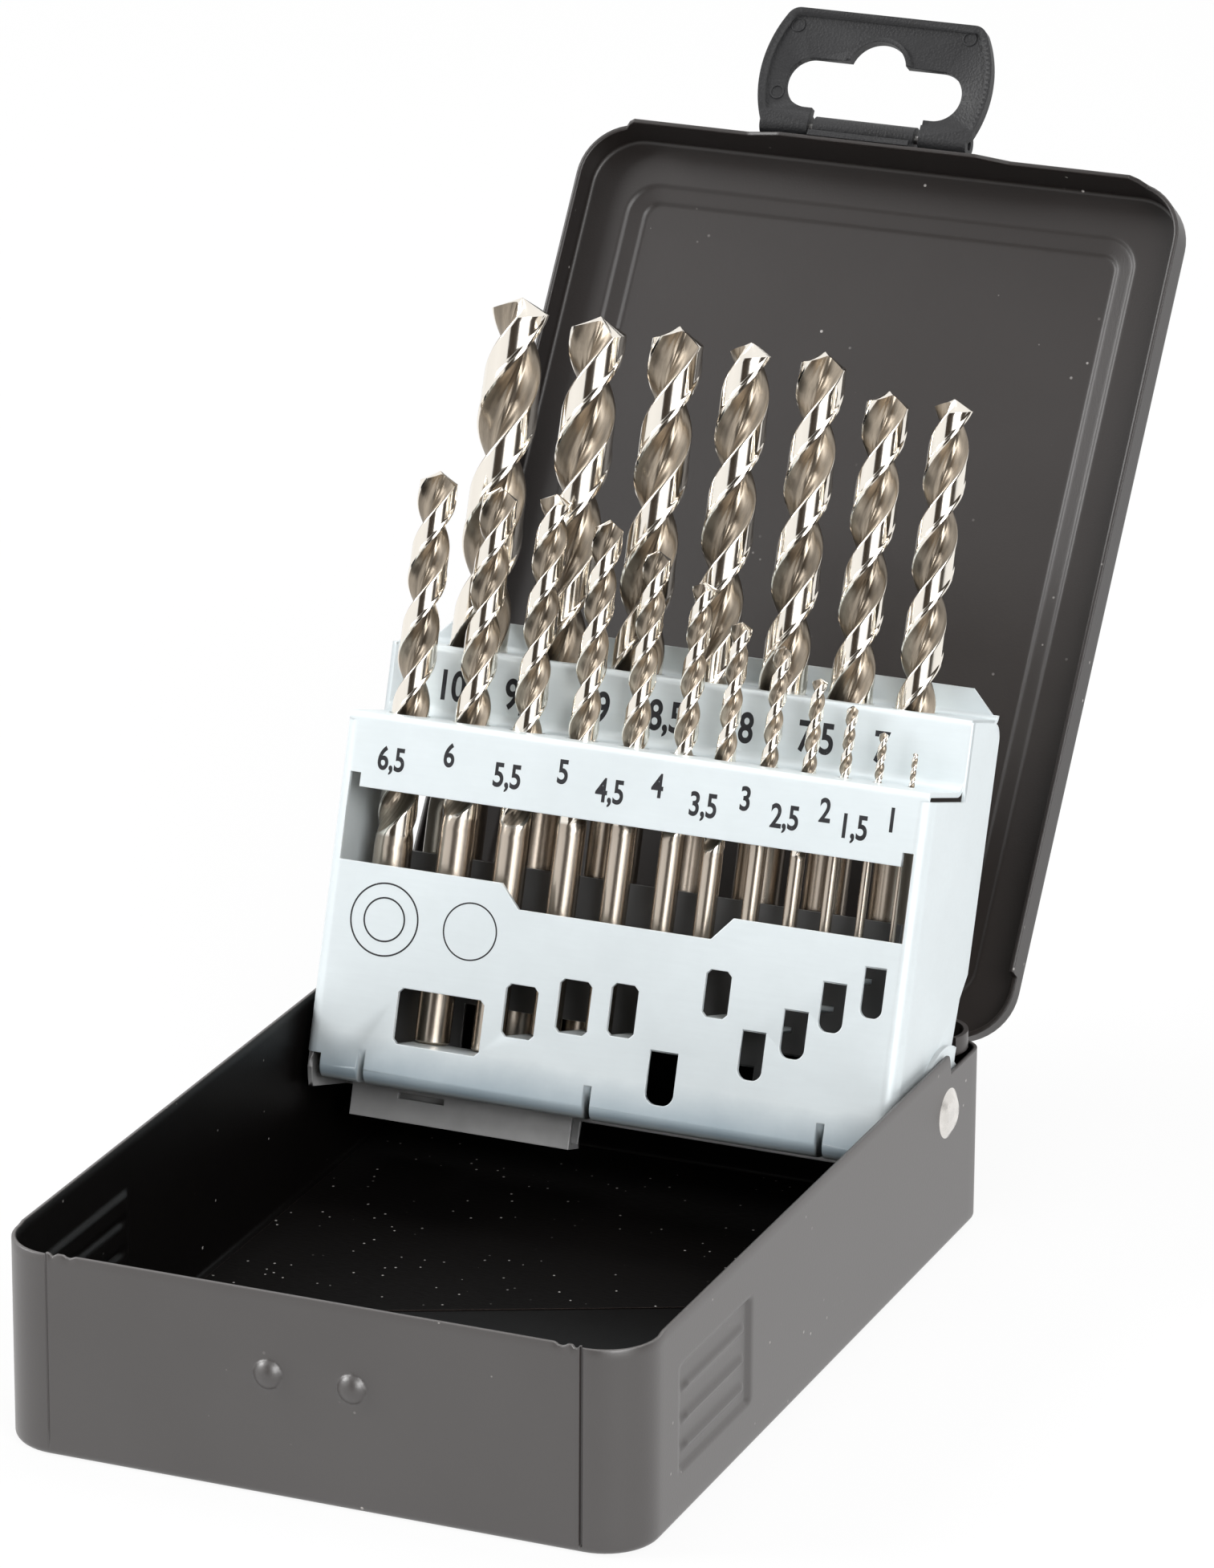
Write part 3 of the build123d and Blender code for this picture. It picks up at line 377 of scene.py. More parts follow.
def carrier_finish(colours, sizes):
    """Plain dark grey coating with streaks from the press, and painted shade inside the rack."""
    finish = Finish("carrier_dark", metallic=0.35, specular_ior_level=0.5)
    streak = finish.noise(finish.place((90, 900, 900)), 1.0, 3, 0.6)
    mottle = finish.noise(finish.place(), 70, 4, 0.6)
    soft, edge = finish.edges(sizes.edge)
    tone = finish.mottled(mottle, colours.carrier, 0.82, 1.15)
    # Painted shade: the part that stands inside the rack is darkened to about a fifth.
    inside = finish.along(RACK_UP, RACK_ORIGIN).ramp(-63, -58)
    tone = finish.blend(inside, tone, scaled(colours.carrier, 0.22))
    finish.set("Base Color", finish.blend(edge * 0.5, tone, scaled(colours.carrier, 1.8)))
    finish.set("Roughness", streak.ramp(0.3, 0.7, 0.36, 0.5))
    finish.bump(streak, 0.008 * MM, 0.5, soft)
    return finish.material


def rivet_finish(colours, sizes):
    """Nickel with light polishing scratches and a worn rim."""
    finish = Finish("rivet_nickel", metallic=1.0)
    where = finish.place()
    cloud = finish.noise(where, 400, 3)
    scratch = finish.noise(finish.place((3000, 300, 2600), (0.5, 0.2, 0.1)), 1.0, 3)
    finish.set("Base Color", finish.blend(cloud.ramp(0.35, 0.65), scaled(colours.rivet, 0.85), colours.rivet))
    finish.set("Roughness", cloud.ramp(0.3, 0.7, 0.22, 0.34))
    finish.bump(scratch, 0.004 * MM, 0.5)
    return finish.material


def wire_finish(colours, sizes):
    """Drawn wire: lines along its length."""
    finish = Finish("hinge_wire", metallic=1.0)
    line = finish.noise(finish.place((60, 4000, 4000)), 1.0, 3)
    finish.set("Base Color", finish.mottled(line, colours.wire, 0.7, 1))
    finish.set("Roughness", line.ramp(0.3, 0.7, 0.28, 0.42))
    finish.bump(line, 0.006 * MM, 0.6)
    return finish.material


def plastic_finish(colours, sizes):
    """Fine-grained moulded plastic with slightly rubbed edges."""
    finish = Finish("tab_plastic", metallic=0.0, specular_ior_level=0.36)
    where = finish.place()
    pebble = finish.cells(where, 2300)
    fine = finish.noise(where, 5200, 2)
    cloud = finish.noise(where, 90, 3)
    soft, edge = finish.edges(sizes.edge)
    tone = finish.mottled(cloud, colours.plastic, 0.85, 1.2)
    finish.set("Base Color", finish.blend(edge * 0.4, tone, scaled(colours.plastic, 3)))
    finish.set("Roughness", cloud.ramp(0.3, 0.7, 0.46, 0.56))
    finish.bump(pebble + fine * 0.6, 0.06 * MM, 0.8, soft)
    return finish.material


def liner_finish(colours, sizes):
    """Thin matt sheet with a faint fibre, a painted highlight along its edge, and dust."""
    finish = Finish("liner_black", metallic=0.0, specular_ior_level=0.08)
    where = finish.place()
    fibre = finish.noise(finish.place((500, 3000, 3000), (0, 0, 0.25)), 1.0, 4)
    cloud = finish.noise(where, 40, 3)
    patch = finish.noise(where, 60, 2).ramp(0.44, 0.54)
    dust = finish.cells(where, 420).ramp(0.06, 0.10, 1, 0) * patch
    soft, edge = finish.edges(0.15 * MM)
    tone = finish.mottled(cloud, colours.enamel, 0.09, 0.14)
    # Painted highlight: the sheet's edges are paled into a thin line catching light.
    tone = finish.blend(edge * 0.9, tone, scaled(colours.enamel, 8))
    finish.set("Base Color", finish.blend(dust * 0.8, tone, colours.dust))
    finish.set("Roughness", fibre.ramp(0.3, 0.7, 0.6, 0.75))
    finish.bump(fibre, 0.01 * MM, 0.5, soft)
    return finish.material


def steel_finish(colours, sizes):
    """Twist drills: polished lands, duller turned shanks with a darker colour as painted shade of the rack
    around them, and brown flutes with grinding streaks.
    """
    finish = Finish("drill_steel", metallic=1.0)
    streak = finish.noise(finish.place((15, 32, 1), uv=True), 1.0, 3, 0.6)
    grain = finish.noise(finish.place((300, 900, 1), uv=True), 1.0, 2, 0.7)
    flute = finish.attribute("flute_depth").ramp(0.046, 0.075)
    brown = finish.blend(streak.ramp(0.36, 0.64), colours.tarnish, scaled(colours.tarnish, 2.3))
    brown = finish.blend(grain.ramp(0.3, 0.7) * 0.3, brown, scaled(colours.tarnish, 0.7))
    shank = finish.attribute("shank")
    # Painted shade: the shanks take the darker shank colour, standing for the shade inside the rack.
    steel_and_shaded_shank = finish.blend(shank, colours.steel, colours.shank)
    finish.set("Base Color", finish.blend(flute, steel_and_shaded_shank, brown))
    finish.set("Roughness", 0.11 + grain * 0.03 + shank * 0.13 + flute * (0.14 + streak * 0.12))
    finish.bump(grain + streak * flute * 3, 0.0016 * MM, 0.5)
    return finish.material


def ink_finish(colours, sizes):
    """Printed ink with faint pinholes."""
    finish = Finish("ink_black", metallic=0.0, specular_ior_level=0.4)
    where = finish.place()
    hole = finish.cells(where, 1500).ramp(0.06, 0.12, 1, 0)
    cloud = finish.noise(where, 300, 3)
    tone = finish.mottled(cloud, colours.ink, 1, 2.2)
    finish.set("Base Color", finish.blend(hole * 0.4, tone, scaled(colours.rack, 0.4)))
    finish.set("Roughness", cloud.ramp(0.3, 0.7, 0.42, 0.55))
    return finish.material


FINISHES = {
    "case_enamel": enamel_finish,
    "rack_zinc": rack_finish,
    "carrier_dark": carrier_finish,
    "rivet_nickel": rivet_finish,
    "hinge_wire": wire_finish,
    "tab_plastic": plastic_finish,
    "liner_black": liner_finish,
    "drill_steel": steel_finish,
    "ink_black": ink_finish,
}


def finish_of(context, name):
    """The named material, made when it is first asked for."""
    found = bpy.data.materials.get("finish_" + name)
    if found is None:
        found = FINISHES[name](context.scene.case_colours, context.scene.case_sizes)
        found.name = "finish_" + name
    return found


def linked(context, name, data):
    """A new object of the scene that holds a mesh, letters, a lamp or a camera."""
    item = bpy.data.objects.new(name, data)
    context.scene.collection.objects.link(item)
    return item


def settle(context, name, mesh, body, finish, sharp=radians(35)):
    """Puts a finished mesh in the scene: smooth but for sharp edges, with a finish, on a body."""
    mesh.name = name
    mesh.polygons.foreach_set("use_smooth", np.ones(len(mesh.polygons), bool))
    mesh.set_sharp_from_angle(angle=sharp)
    mesh.materials.clear()
    mesh.materials.append(finish_of(context, finish))
    piece = linked(context, name, mesh)
    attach(piece, body)
    return piece


def tube_mesh(name, rings, start, end):
    """A closed skin over rings of points, shape (rings, around, 3), with a pole at each end.
    Ring i and place j give the four corners (i, j), (i, j+1), (i+1, j+1), (i+1, j)."""
    count, around = rings.shape[:2]
    i, j = np.meshgrid(np.arange(count - 1), np.arange(around), indexing="ij")
    k = (j + 1) % around
    quads = np.stack([i * around + j, i * around + k, (i + 1) * around + k, (i + 1) * around + j], -1)
    places = np.arange(around)
    after = (places + 1) % around
    top = (count - 1) * around
    low = np.stack([np.full(around, count * around), after, places], -1)
    high = np.stack([np.full(around, count * around + 1), top + places, top + after], -1)
    points = np.concatenate([rings.reshape(-1, 3), [start, end]])
    mesh = bpy.data.meshes.new(name)
    mesh.from_pydata(points, [], quads.reshape(-1, 4).tolist() + low.tolist() + high.tolist())
    return mesh


def add_values(mesh, name, values):
    """Stores a number on each point of a mesh, for a finish to read."""
    stored = mesh.attributes.new(name, "FLOAT", "POINT")
    stored.data.foreach_set("value", np.asarray(values, np.float32))


def add_gloss_and_shade(mesh, values):
    """Stores how much clear lacquer each point carries; a low share also darkens the enamel's colour as
    painted shade.
    """
    add_values(mesh, "gloss_and_shade", values)


def drill_surface(diameter, helix, point, turn):
    """Rings of a twist drill along +Z, with the depth of its flutes and its surface coordinates.
    Radius is the section's share at an angle, blended to round where the flutes run out.
    The angle advances by a turn for each lead of height, and the top ring lies on a cone.
    The foot's rings make a small chamfer, and the tip's rings close the cone."""
    radius = diameter / 2
    overall, fluted = DRILL_LENGTHS[diameter]
    lead = TAU * radius / tan(helix)
    slope = 1 / tan(point / 2)
    around = 144
    rows_per_turn = 40
    runout = 1.8 * diameter
    angle = np.arange(around) * TAU / around
    share = np.interp(np.degrees(angle) % 180, SECTION_ANGLES, SECTION_SHARES)
    relief = np.interp(np.degrees(angle) % 180, (0, 108, 180), (0, 0.27, 0.0))
    crown = overall - radius * share * (slope + relief)
    start = overall - fluted
    rows = int(rows_per_turn * fluted / lead) + 12
    climb = np.linspace(0, 1, rows)[:, None]
    heights = start + (crown - start) * climb
    rise = step((heights - start) / runout, 0, 1)
    reach = radius * (1 - (1 - share) * rise)
    foot = np.array([0.0, 0.0, 0.07 * diameter, start * 0.5, start * 0.98])[:, None] + 0 * angle
    foot_reach = radius * np.array([0.4, 0.86, 1, 1, 1])[:, None] + 0 * angle
    tip = np.array([0.97, 0.75, 0.5, 0.25, 0.08])[:, None]
    tip_reach = tip * radius * share
    tip_height = overall - tip_reach * (slope + relief)
    reach = np.concatenate([foot_reach, reach, tip_reach])
    height = np.concatenate([foot, heights, tip_height])
    way = angle + TAU * (np.maximum(height, start) - overall) / lead + turn
    rings = np.stack([reach * np.cos(way), reach * np.sin(way), height], -1)
    depth = 1 - reach / radius
    depth[-len(tip):] = 0
    surface = np.stack([angle / TAU + 0 * height, height * MM], -1)
    return rings, depth, surface


def straight(*stops):
    """Places along a side: each stop is (end, spacing) after a first start, without the last end."""
    places = []
    start = stops[0]
    for end, spacing in stops[1:]:
        places.append(np.linspace(start, end, max(2, round(abs(end - start) / spacing) + 1))[:-1])
        start = end
    return np.concatenate(places)[1:]


class Outline:
    """A rounded rectangle walked from the front of its right side, each side at chosen places.
    Straights hold shares of their own length and corners hold equal angles, so that outlines of
    other sizes walked with the same shares match point by point."""

    def __init__(self, half, low, high, radius_low, radius_high, sides, along_high, along_low):
        self.shares = [
            (sides - (low + radius_low)) / (high - radius_high - low - radius_low),
            (along_high + half - radius_high) / (2 * (half - radius_high)),
            (along_low + half - radius_low) / (2 * (half - radius_low)),
        ]
        self.size = (half, low, high, radius_low, radius_high)

    def ring(self, inset=0.0, radius=None, shift=(0, 0)):
        """Points and outward normals of the outline moved in, with other corners if asked."""
        half, low, high, radius_low, radius_high = self.size
        half, low, high = half - inset, low + inset + shift[0], high - inset - shift[1]
        radius_low = max(radius_low - inset, 0.3) if radius is None else radius
        radius_high = max(radius_high - inset, 0.3) if radius is None else radius
        side, top, bottom = self.shares
        y = low + radius_low + side * (high - radius_high - low - radius_low)
        x_high = (2 * top - 1) * (half - radius_high)
        x_low = (2 * bottom - 1) * (half - radius_low)
        quarter = np.linspace(0, pi / 2, 13)
        turn = np.cos(quarter), np.sin(quarter)
        c, s = turn
        parts = [
            (half + 0 * y, y, 1 + 0 * y, 0 * y),
            (half - radius_high + radius_high * c, high - radius_high + radius_high * s, c, s),
            (x_high, high + 0 * x_high, 0 * x_high, 1 + 0 * x_high),
            (radius_high - half - radius_high * s, high - radius_high + radius_high * c, -s, c),
            (-half + 0 * y, y[::-1], -1 + 0 * y, 0 * y),
            (radius_low - half - radius_low * c, low + radius_low - radius_low * s, -c, -s),
            (x_low, low + 0 * x_low, 0 * x_low, -1 + 0 * x_low),
            (half - radius_low + radius_low * s, low + radius_low - radius_low * c, s, -c),
        ]
        x, y, nx, ny = (np.concatenate(column) for column in zip(*parts))
        return np.stack([x, y], -1), np.stack([nx, ny], -1)


def step(value, start, end):
    """Smooth rise from 0 at start to 1 at end."""
    share = np.clip((value - start) / (end - start), 0, 1)
    return share * share * (3 - 2 * share)


def plateau(value, low, high, soft):
    """1 between low and high, with soft flanks inside."""
    return step(value, low, low + soft) * step(-value, -high, soft - high)


def ribbon_mesh(name, path, thickness, low, high):
    """A strip of sheet: an open line in the YZ plane, thickened to both sides, from low to high along X."""
    path = np.array(path, float)
    along = np.gradient(path, axis=0)
    along /= np.linalg.norm(along, axis=1)[:, None]
    across = np.stack([-along[:, 1], along[:, 0]], -1) * thickness / 2
    loop = np.concatenate([path + across, (path - across)[::-1]])
    rings = np.stack([np.column_stack([x + 0 * loop[:, 0], loop]) for x in (low, high)])
    count = len(loop)
    j = np.arange(count)
    k = (j + 1) % count
    quads = np.stack([j, count + j, count + k, k], -1)
    half = np.arange(len(path) - 1)
    ends = np.stack([half, half + 1, count - 2 - half, count - 1 - half], -1)
    mesh = bpy.data.meshes.new(name)
    faces = quads.tolist() + ends.tolist() + (ends + count)[:, ::-1].tolist()
    mesh.from_pydata(rings.reshape(-1, 3), [], faces)
    return mesh


def rolled(leaf, radius, start, end):
    """A straight leaf that becomes an arc round the origin between two angles in degrees."""
    angle = np.radians(np.linspace(start, end, 44))
    arc = np.stack([radius * np.cos(angle), radius * np.sin(angle)], -1)
    return np.concatenate([leaf, arc])


class CASE_OT_tray(bpy.types.Operator):
    """The pressed tray: folded walls with seams, bumps, ribbed grips, curled corners and tongue"""

    bl_idname = "drill_case.tray"
    bl_label = "Tray"

    def execute(self, context):
        mesh = self.shell()
        tray = settle(context, "tray_pressing", mesh, "tray", "case_enamel", radians(38))
        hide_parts("base_tray")
        self.curls(context)
        self.tongue(context)
        return {"FINISHED"}

    def shell(self):
        """Rings of the outline, moved in by an inset at a level: up the outside, over the rim and
        down the inside. Each point is pushed along its outward normal by pressed() - seams()."""
        sides = straight(-65, (-58.5, 1.4), (-27.5, 0.7), (55.8, 4), (60.4, 0.4), (70, 2.4))
        rear = straight(
            49.8, (46.2, 0.4), (16, 3), (14, 0.25), (-14, 3), (-16, 0.25), (-46.2, 3), (-49.8, 0.4)
        )
        fore = straight(
            -44.8, (-44.2, 0.075), (-38, 0.4), (-10, 3), (-4, 0.27),
            (4, 2), (10, 0.27), (38, 3), (44.2, 0.4), (44.8, 0.075),
        )
        outline = Outline(TRAY_HALF, -TRAY_END, TRAY_END, 9, 4, sides, rear, fore)
        edge, normal = outline.ring()
        x, y = edge.T
        rim = self.rim(x, y)
        fold = np.linspace(0, pi / 2, 7)[:-1]
        rows = self.rows(fold)
        rings = []
        for inset, level in rows:
            points, _ = outline.ring(inset)
            lowered = max(level - WALL_TOP, 0) / (TRAY_HIGH - WALL_TOP)
            height = level + lowered * (rim - TRAY_HIGH)
            shift = self.pressed(x, y, height) * (1.25 < level) - self.seams(x, y, height) * (inset == 0)
            rings.append(np.column_stack([points + normal * shift[:, None], height]))
        underside = rings[0] * (0.5, 0.5, 1)
        inside = rings[-1] * (0.5, 0.5, 1)
        mesh = tube_mesh("tray", np.stack([underside, *rings, inside]), (0, 0, 0), (0, 0, SHEET))
        # The inside's low lacquer share also darkens its colour to a tenth: painted shade inside the tray.
        outer_gloss, inner_gloss_and_shade = 1.0, 0.06
        gloss_and_shade = [inner_gloss_and_shade if inset > 0.5 and level > 0.75 else outer_gloss for inset, level in rows]
        gloss_and_shade = np.array([outer_gloss, *gloss_and_shade, inner_gloss_and_shade])
        gloss_and_shade[1 : 1 + len(fold) + 1] = outer_gloss
        add_gloss_and_shade(mesh, np.append(np.repeat(gloss_and_shade, len(x)), (outer_gloss, inner_gloss_and_shade)))
        mesh.transform(Matrix.Scale(MM, 4))
        return mesh

    def rim(self, x, y):
        """Height of the rim: notched at the rear corners, a little lower and nicked in front."""
        side_notch = step(y, *SIDE_NOTCH) * (abs(x) > SIDE_FACE)
        rear_notch = (y > 69.9) * step(abs(x), *REAR_NOTCH)
        rim = TRAY_HIGH - NOTCH_DEPTH * np.maximum(side_notch, rear_notch)
        rim = rim - 0.3 * (y < -64) * (abs(x) > SEAM_PLACE)
        for spot, depth, width in RIM_NICKS:
            rim = rim - depth * (y < FRONT_FACE) * np.exp(-(((x - spot) / width) ** 4))
        return rim

    def rows(self, fold):
        """Inset and level of each ring, closer together at the bumps and the ribs."""
        close = [np.linspace(level - 1.6, level + 1.6, 9) for level in sorted((*GRIP_LEVELS, *GRIP_RIBS))]
        levels = np.sort(np.concatenate([
            np.linspace(TRAY_FOLD, 33.75, 22),
            np.linspace(BUMP_LEVEL - 3, BUMP_LEVEL + 3, 19),
            *close,
        ]))
        levels = levels[np.append(np.diff(levels) > 0.1, True)]
        inner = TRAY_FOLD - SHEET
        rows = [(2 * TRAY_FOLD, 0.0)]
        rows += [(TRAY_FOLD - TRAY_FOLD * sin(a), TRAY_FOLD - TRAY_FOLD * cos(a)) for a in fold]
        rows += [(0.0, level) for level in levels]
        rows += [(0.12, 33.94), (0.4, TRAY_HIGH), (0.68, 33.94)]
        rows += [(SHEET, level) for level in levels[::-1]]
        rows += [(TRAY_FOLD - inner * sin(a), TRAY_FOLD - inner * cos(a)) for a in fold[::-1]]
        return rows + [(2 * TRAY_FOLD, SHEET)]

    def pressed(self, x, y, z):
        """How far the sheet is pressed outwards: two domes in front, ribbed pockets at the sides.
        A dome is (1 - (away / radius)^2)^0.7 high, and a rib is a bell curve round its level."""
        out = 0 * z
        for place in BUMP_PLACES:
            away = np.hypot(x - place, z - BUMP_LEVEL)
            dome = BUMP_RISE * np.clip(1 - (away / BUMP_RADIUS) ** 2, 0, 1) ** 0.7
            swell = 0.1 * np.exp(-(((away - 2.5) / 0.7) ** 2))
            out = out + (y < FRONT_FACE) * (dome + swell)
        pocket = plateau(y, *GRIP_ENDS, 0.9) * plateau(z, *GRIP_LEVELS, 0.9)
        ribs = sum(np.exp(-(((z - level) / 0.75) ** 2)) for level in GRIP_RIBS)
        ribs = np.clip(ribs, 0, 1) * plateau(y, -55.6, -30.4, 1.2)
        return out - (abs(x) > SIDE_FACE) * GRIP_DEPTH * pocket * (1 - 0.95 * ribs)

    def seams(self, x, y, z):
        """Depth of the open seams beside the front corners and of the tongue's window."""
        right = 0.6 * np.exp(-(((x - SEAM_PLACE) / 0.26) ** 4)) * (z > 0.9)
        left = 0.2 * np.exp(-(((x + SEAM_PLACE) / 0.15) ** 4)) * (z > 2.4)
        window = (y > 73.5) * plateau(x, -15.2, 15.2, 0.3) * plateau(z, 27.8, 32.2, 0.3)
        return (y < FRONT_FACE) * (right + left) + 0.6 * window

    def curls(self, context):
        """The rim curled inwards at each rear corner: an arc of sheet standing above the notch."""
        across, back = CURL_PLACE
        for side, name in ((-1, "curl_left"), (1, "curl_right")):
            arc = rolled(np.zeros((0, 2)), CURL_RADIUS, 90, -30)
            mesh = ribbon_mesh(name, arc * (side, 1), SHEET, 30.9, TRAY_HIGH)
            upright = Matrix(((0, 1, 0, side * across), (0, 0, 1, back), (1, 0, 0, 0), (0, 0, 0, 1)))
            mesh.transform(Matrix.Scale(MM, 4) @ upright)
            add_gloss_and_shade(mesh, np.full(len(mesh.vertices), 0.7))
            if side < 0:
                mesh.flip_normals()
            settle(context, name, mesh, "tray", "case_enamel")

    def tongue(self, context):
        """The tray's own leaf of the hinge, rolled round the pin."""
        radius, half_width = 1.3, 15.13
        path = rolled([(-2.9, -radius), (-1.4, -radius)], radius, -90, 205)
        mesh = ribbon_mesh("tongue", path, SHEET, -half_width, half_width)
        mesh.transform(Matrix.Translation(HINGE) @ Matrix.Scale(MM, 4))
        add_gloss_and_shade(mesh, np.ones(len(mesh.vertices)))
        settle(context, "tray_tongue", mesh, "tray", "case_enamel")


class CASE_OT_lid(bpy.types.Operator):
    """The pressed lid: raised panel, folded flanges with a lip, and the leaves round the pin"""

    bl_idname = "drill_case.lid"
    bl_label = "Lid"

    def execute(self, context):
        gloss_and_shade = 0.40
        place = placed(HINGE, LID_FORWARD, LID_INWARD)
        mesh = self.shell()
        add_gloss_and_shade(mesh, np.full(len(mesh.vertices), gloss_and_shade))
        mesh.transform(place)
        lid = settle(context, "lid_pressing", mesh, "lid", "case_enamel", radians(38))
        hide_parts("lid")
        near, far = LEAF_ENDS
        radius, thickness = 1.35, 0.78
        path = rolled([(radius, -2.45), (radius, -1.2)], radius, 0, 290)
        for low, high, name in ((-far, -near, "leaf_left"), (near, far, "leaf_right")):
            leaf = ribbon_mesh(name, path, thickness, low, high)
            leaf.transform(place)
            add_gloss_and_shade(leaf, np.full(len(leaf.vertices), gloss_and_shade))
            settle(context, name, leaf, "lid", "case_enamel")
        return {"FINISHED"}

    def shell(self):
        """Rings of the outline at an inset and a level: out over the raised panel, round the fold,
        down the flange, over its edge, and back the same way one sheet further in."""
        sides = straight(10.65, (12.6, 0.7), (13.4, 0.1), (142.25, 4))
        rear = straight(-45.4, (45.4, 3))
        fore = straight(45.4, (24.4, 3), (17.6, 0.4), (-17.6, 3), (-24.4, 0.4), (-45.4, 3))
        outline = Outline(LID_HALF, LID_REAR, LID_FRONT, LID_CORNER, LID_CORNER, sides, fore, rear)
        edge, _ = outline.ring()
        depth = self.flange(*edge.T)
        fold = np.linspace(0, pi / 2, 8)
        down = np.linspace(0.1, 0.97, 9)
        lining = LID_SKIN + SHEET
        inner = LID_FOLD - SHEET
        shoulder = LID_SKIN + LID_FOLD
        edge_room = 0.7
        panel = self.panel()
        rings = []
        for inset, radius, rise in panel:
            rings.append(self.level(outline, inset, radius, LID_SKIN - rise))
        for a in fold:
            height = shoulder - LID_FOLD * cos(a)
            rings.append(self.level(outline, LID_FOLD - LID_FOLD * sin(a), None, height))
        for share in down:
            rings.append(self.level(outline, 0, None, shoulder + share * (depth - edge_room)))
        for inset, short in ((0.12, 0.05), (0.4, 0.0), (0.68, 0.05)):
            rings.append(self.level(outline, inset, None, depth + lining - short))
        for share in down[::-1]:
            rings.append(self.level(outline, SHEET, None, shoulder + share * (depth - edge_room)))
        for a in fold[::-1]:
            height = shoulder - inner * cos(a)
            rings.append(self.level(outline, LID_FOLD - inner * sin(a), None, height))
        for inset, radius, rise in panel[::-1]:
            rings.append(self.level(outline, inset, radius, lining - rise))
        poles = (0, LID_MIDDLE, LID_SKIN - 1), (0, LID_MIDDLE, lining - 1)
        return tube_mesh("lid", np.stack(rings), *poles)

    def flange(self, x, y):
        """Depth of the flange: shallow beside the hinge, deep in front, with a lip in its middle."""
        depth = FLANGE - 2.5 * step(-y, -13.1, -12.8) + 3.4 * (y > 145) * step(-abs(x), -47.3, -46.2)
        return depth + 1.8 * (y > 151) * np.clip((24 - abs(x)) / 6, 0, 1)

    def panel(self):
        """Inset, corner radius and rise of the raised panel and its border, from the middle outwards."""
        inner = BORDER_INSET + BORDER_WIDTH
        bends = (np.linspace(0, 0.9, 8), np.linspace(1.3, 2.7, 4), np.linspace(3.1, BORDER_WIDTH, 8))
        across = np.concatenate(bends)
        rows = [(inner + 18, 2.0, 1.0), (inner + 0.35, 2.3, 1.0)]
        rows += [(BORDER_INSET + t, 6.0 - 0.9 * t, self.slope(t)) for t in across[::-1]]
        return rows + [(BORDER_INSET - 0.35, 6.2, 0.0), (3.2, None, 0.0)]

    def slope(self, t):
        """Height of the raised panel's border: a bend at its foot, a gentle slope, a bend at its crest."""
        foot = 0.32 * step(t, 0, 0.9)
        crest = 0.32 * step(t, 3.1, BORDER_WIDTH)
        return float(foot + 0.36 * np.clip((t - 0.5) / 3, 0, 1) + crest)

    def level(self, outline, inset, radius, z):
        """A ring of the lid: its rear border is narrower than the others where it is raised."""
        shift = (-1.3, 0) if inset > 5 else (0, 0)
        points, _ = outline.ring(inset, radius, shift)
        return np.column_stack([points, z + 0 * points[:, 0]])


class CASE_OT_drills(bpy.types.Operator):
    """Nineteen twist drills with helical flutes, in place of the plain ones"""

    bl_idname = "drill_case.drills"
    bl_label = "Twist drills"

    def execute(self, context):
        sizes = context.scene.case_sizes
        for diameter in DRILL_LENGTHS:
            name = f"{diameter:.1f}".replace(".", "_")
            node = "drill_" + name
            low, high = (np.array(corner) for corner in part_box(node))
            radius = diameter / 2 * MM
            foot = Vector(((low[0] + high[0]) / 2, low[1] + radius * RACK_UP.z, low[2] + radius * RACK_UP.y))
            turn = radians(DRILL_TURNS[diameter])
            overall, fluted = DRILL_LENGTHS[diameter]
            rings, depth, surface = drill_surface(diameter, sizes.helix, sizes.point, turn)
            mesh = tube_mesh(node, rings, (0, 0, 0), (0, 0, overall))
            add_values(mesh, "flute_depth", np.append(depth.ravel(), (0, 0)))
            shank_top = overall - fluted + 0.3 * diameter
            add_values(mesh, "shank", np.append((rings[..., 2] < shank_top).ravel(), (1, 0)))
            corners = np.zeros(len(mesh.loops), np.int32)
            mesh.loops.foreach_get("vertex_index", corners)
            spread = np.concatenate([surface.reshape(-1, 2), [[0, 0], [0, overall * MM]]])
            mesh.uv_layers.new(name="around_and_up").data.foreach_set("uv", spread[corners].ravel())
            mesh.transform(placed(foot, RACK_UP.cross(RIGHT), RACK_UP))
            piece = settle(context, "twist_" + name, mesh, "bit_" + name, "drill_steel")
            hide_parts(node)
        return {"FINISHED"}


def smooth_copy(context, node, body, finish):
    """A copy of a CAD node with its triangles merged and its rounded walls shaded smooth."""
    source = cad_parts[node]
    shell = bmesh.new()
    shell.from_mesh(source.data)
    bmesh.ops.remove_doubles(shell, verts=shell.verts, dist=0.001 * MM)
    mesh = bpy.data.meshes.new(node)
    shell.to_mesh(mesh)
    shell.free()
    piece = settle(context, "formed_" + node, mesh, body, finish, radians(30))
    flat = piece.modifiers.new("flat_walls", "WEIGHTED_NORMAL")
    flat.keep_sharp = True
    flat.weight = 100
    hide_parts(node)


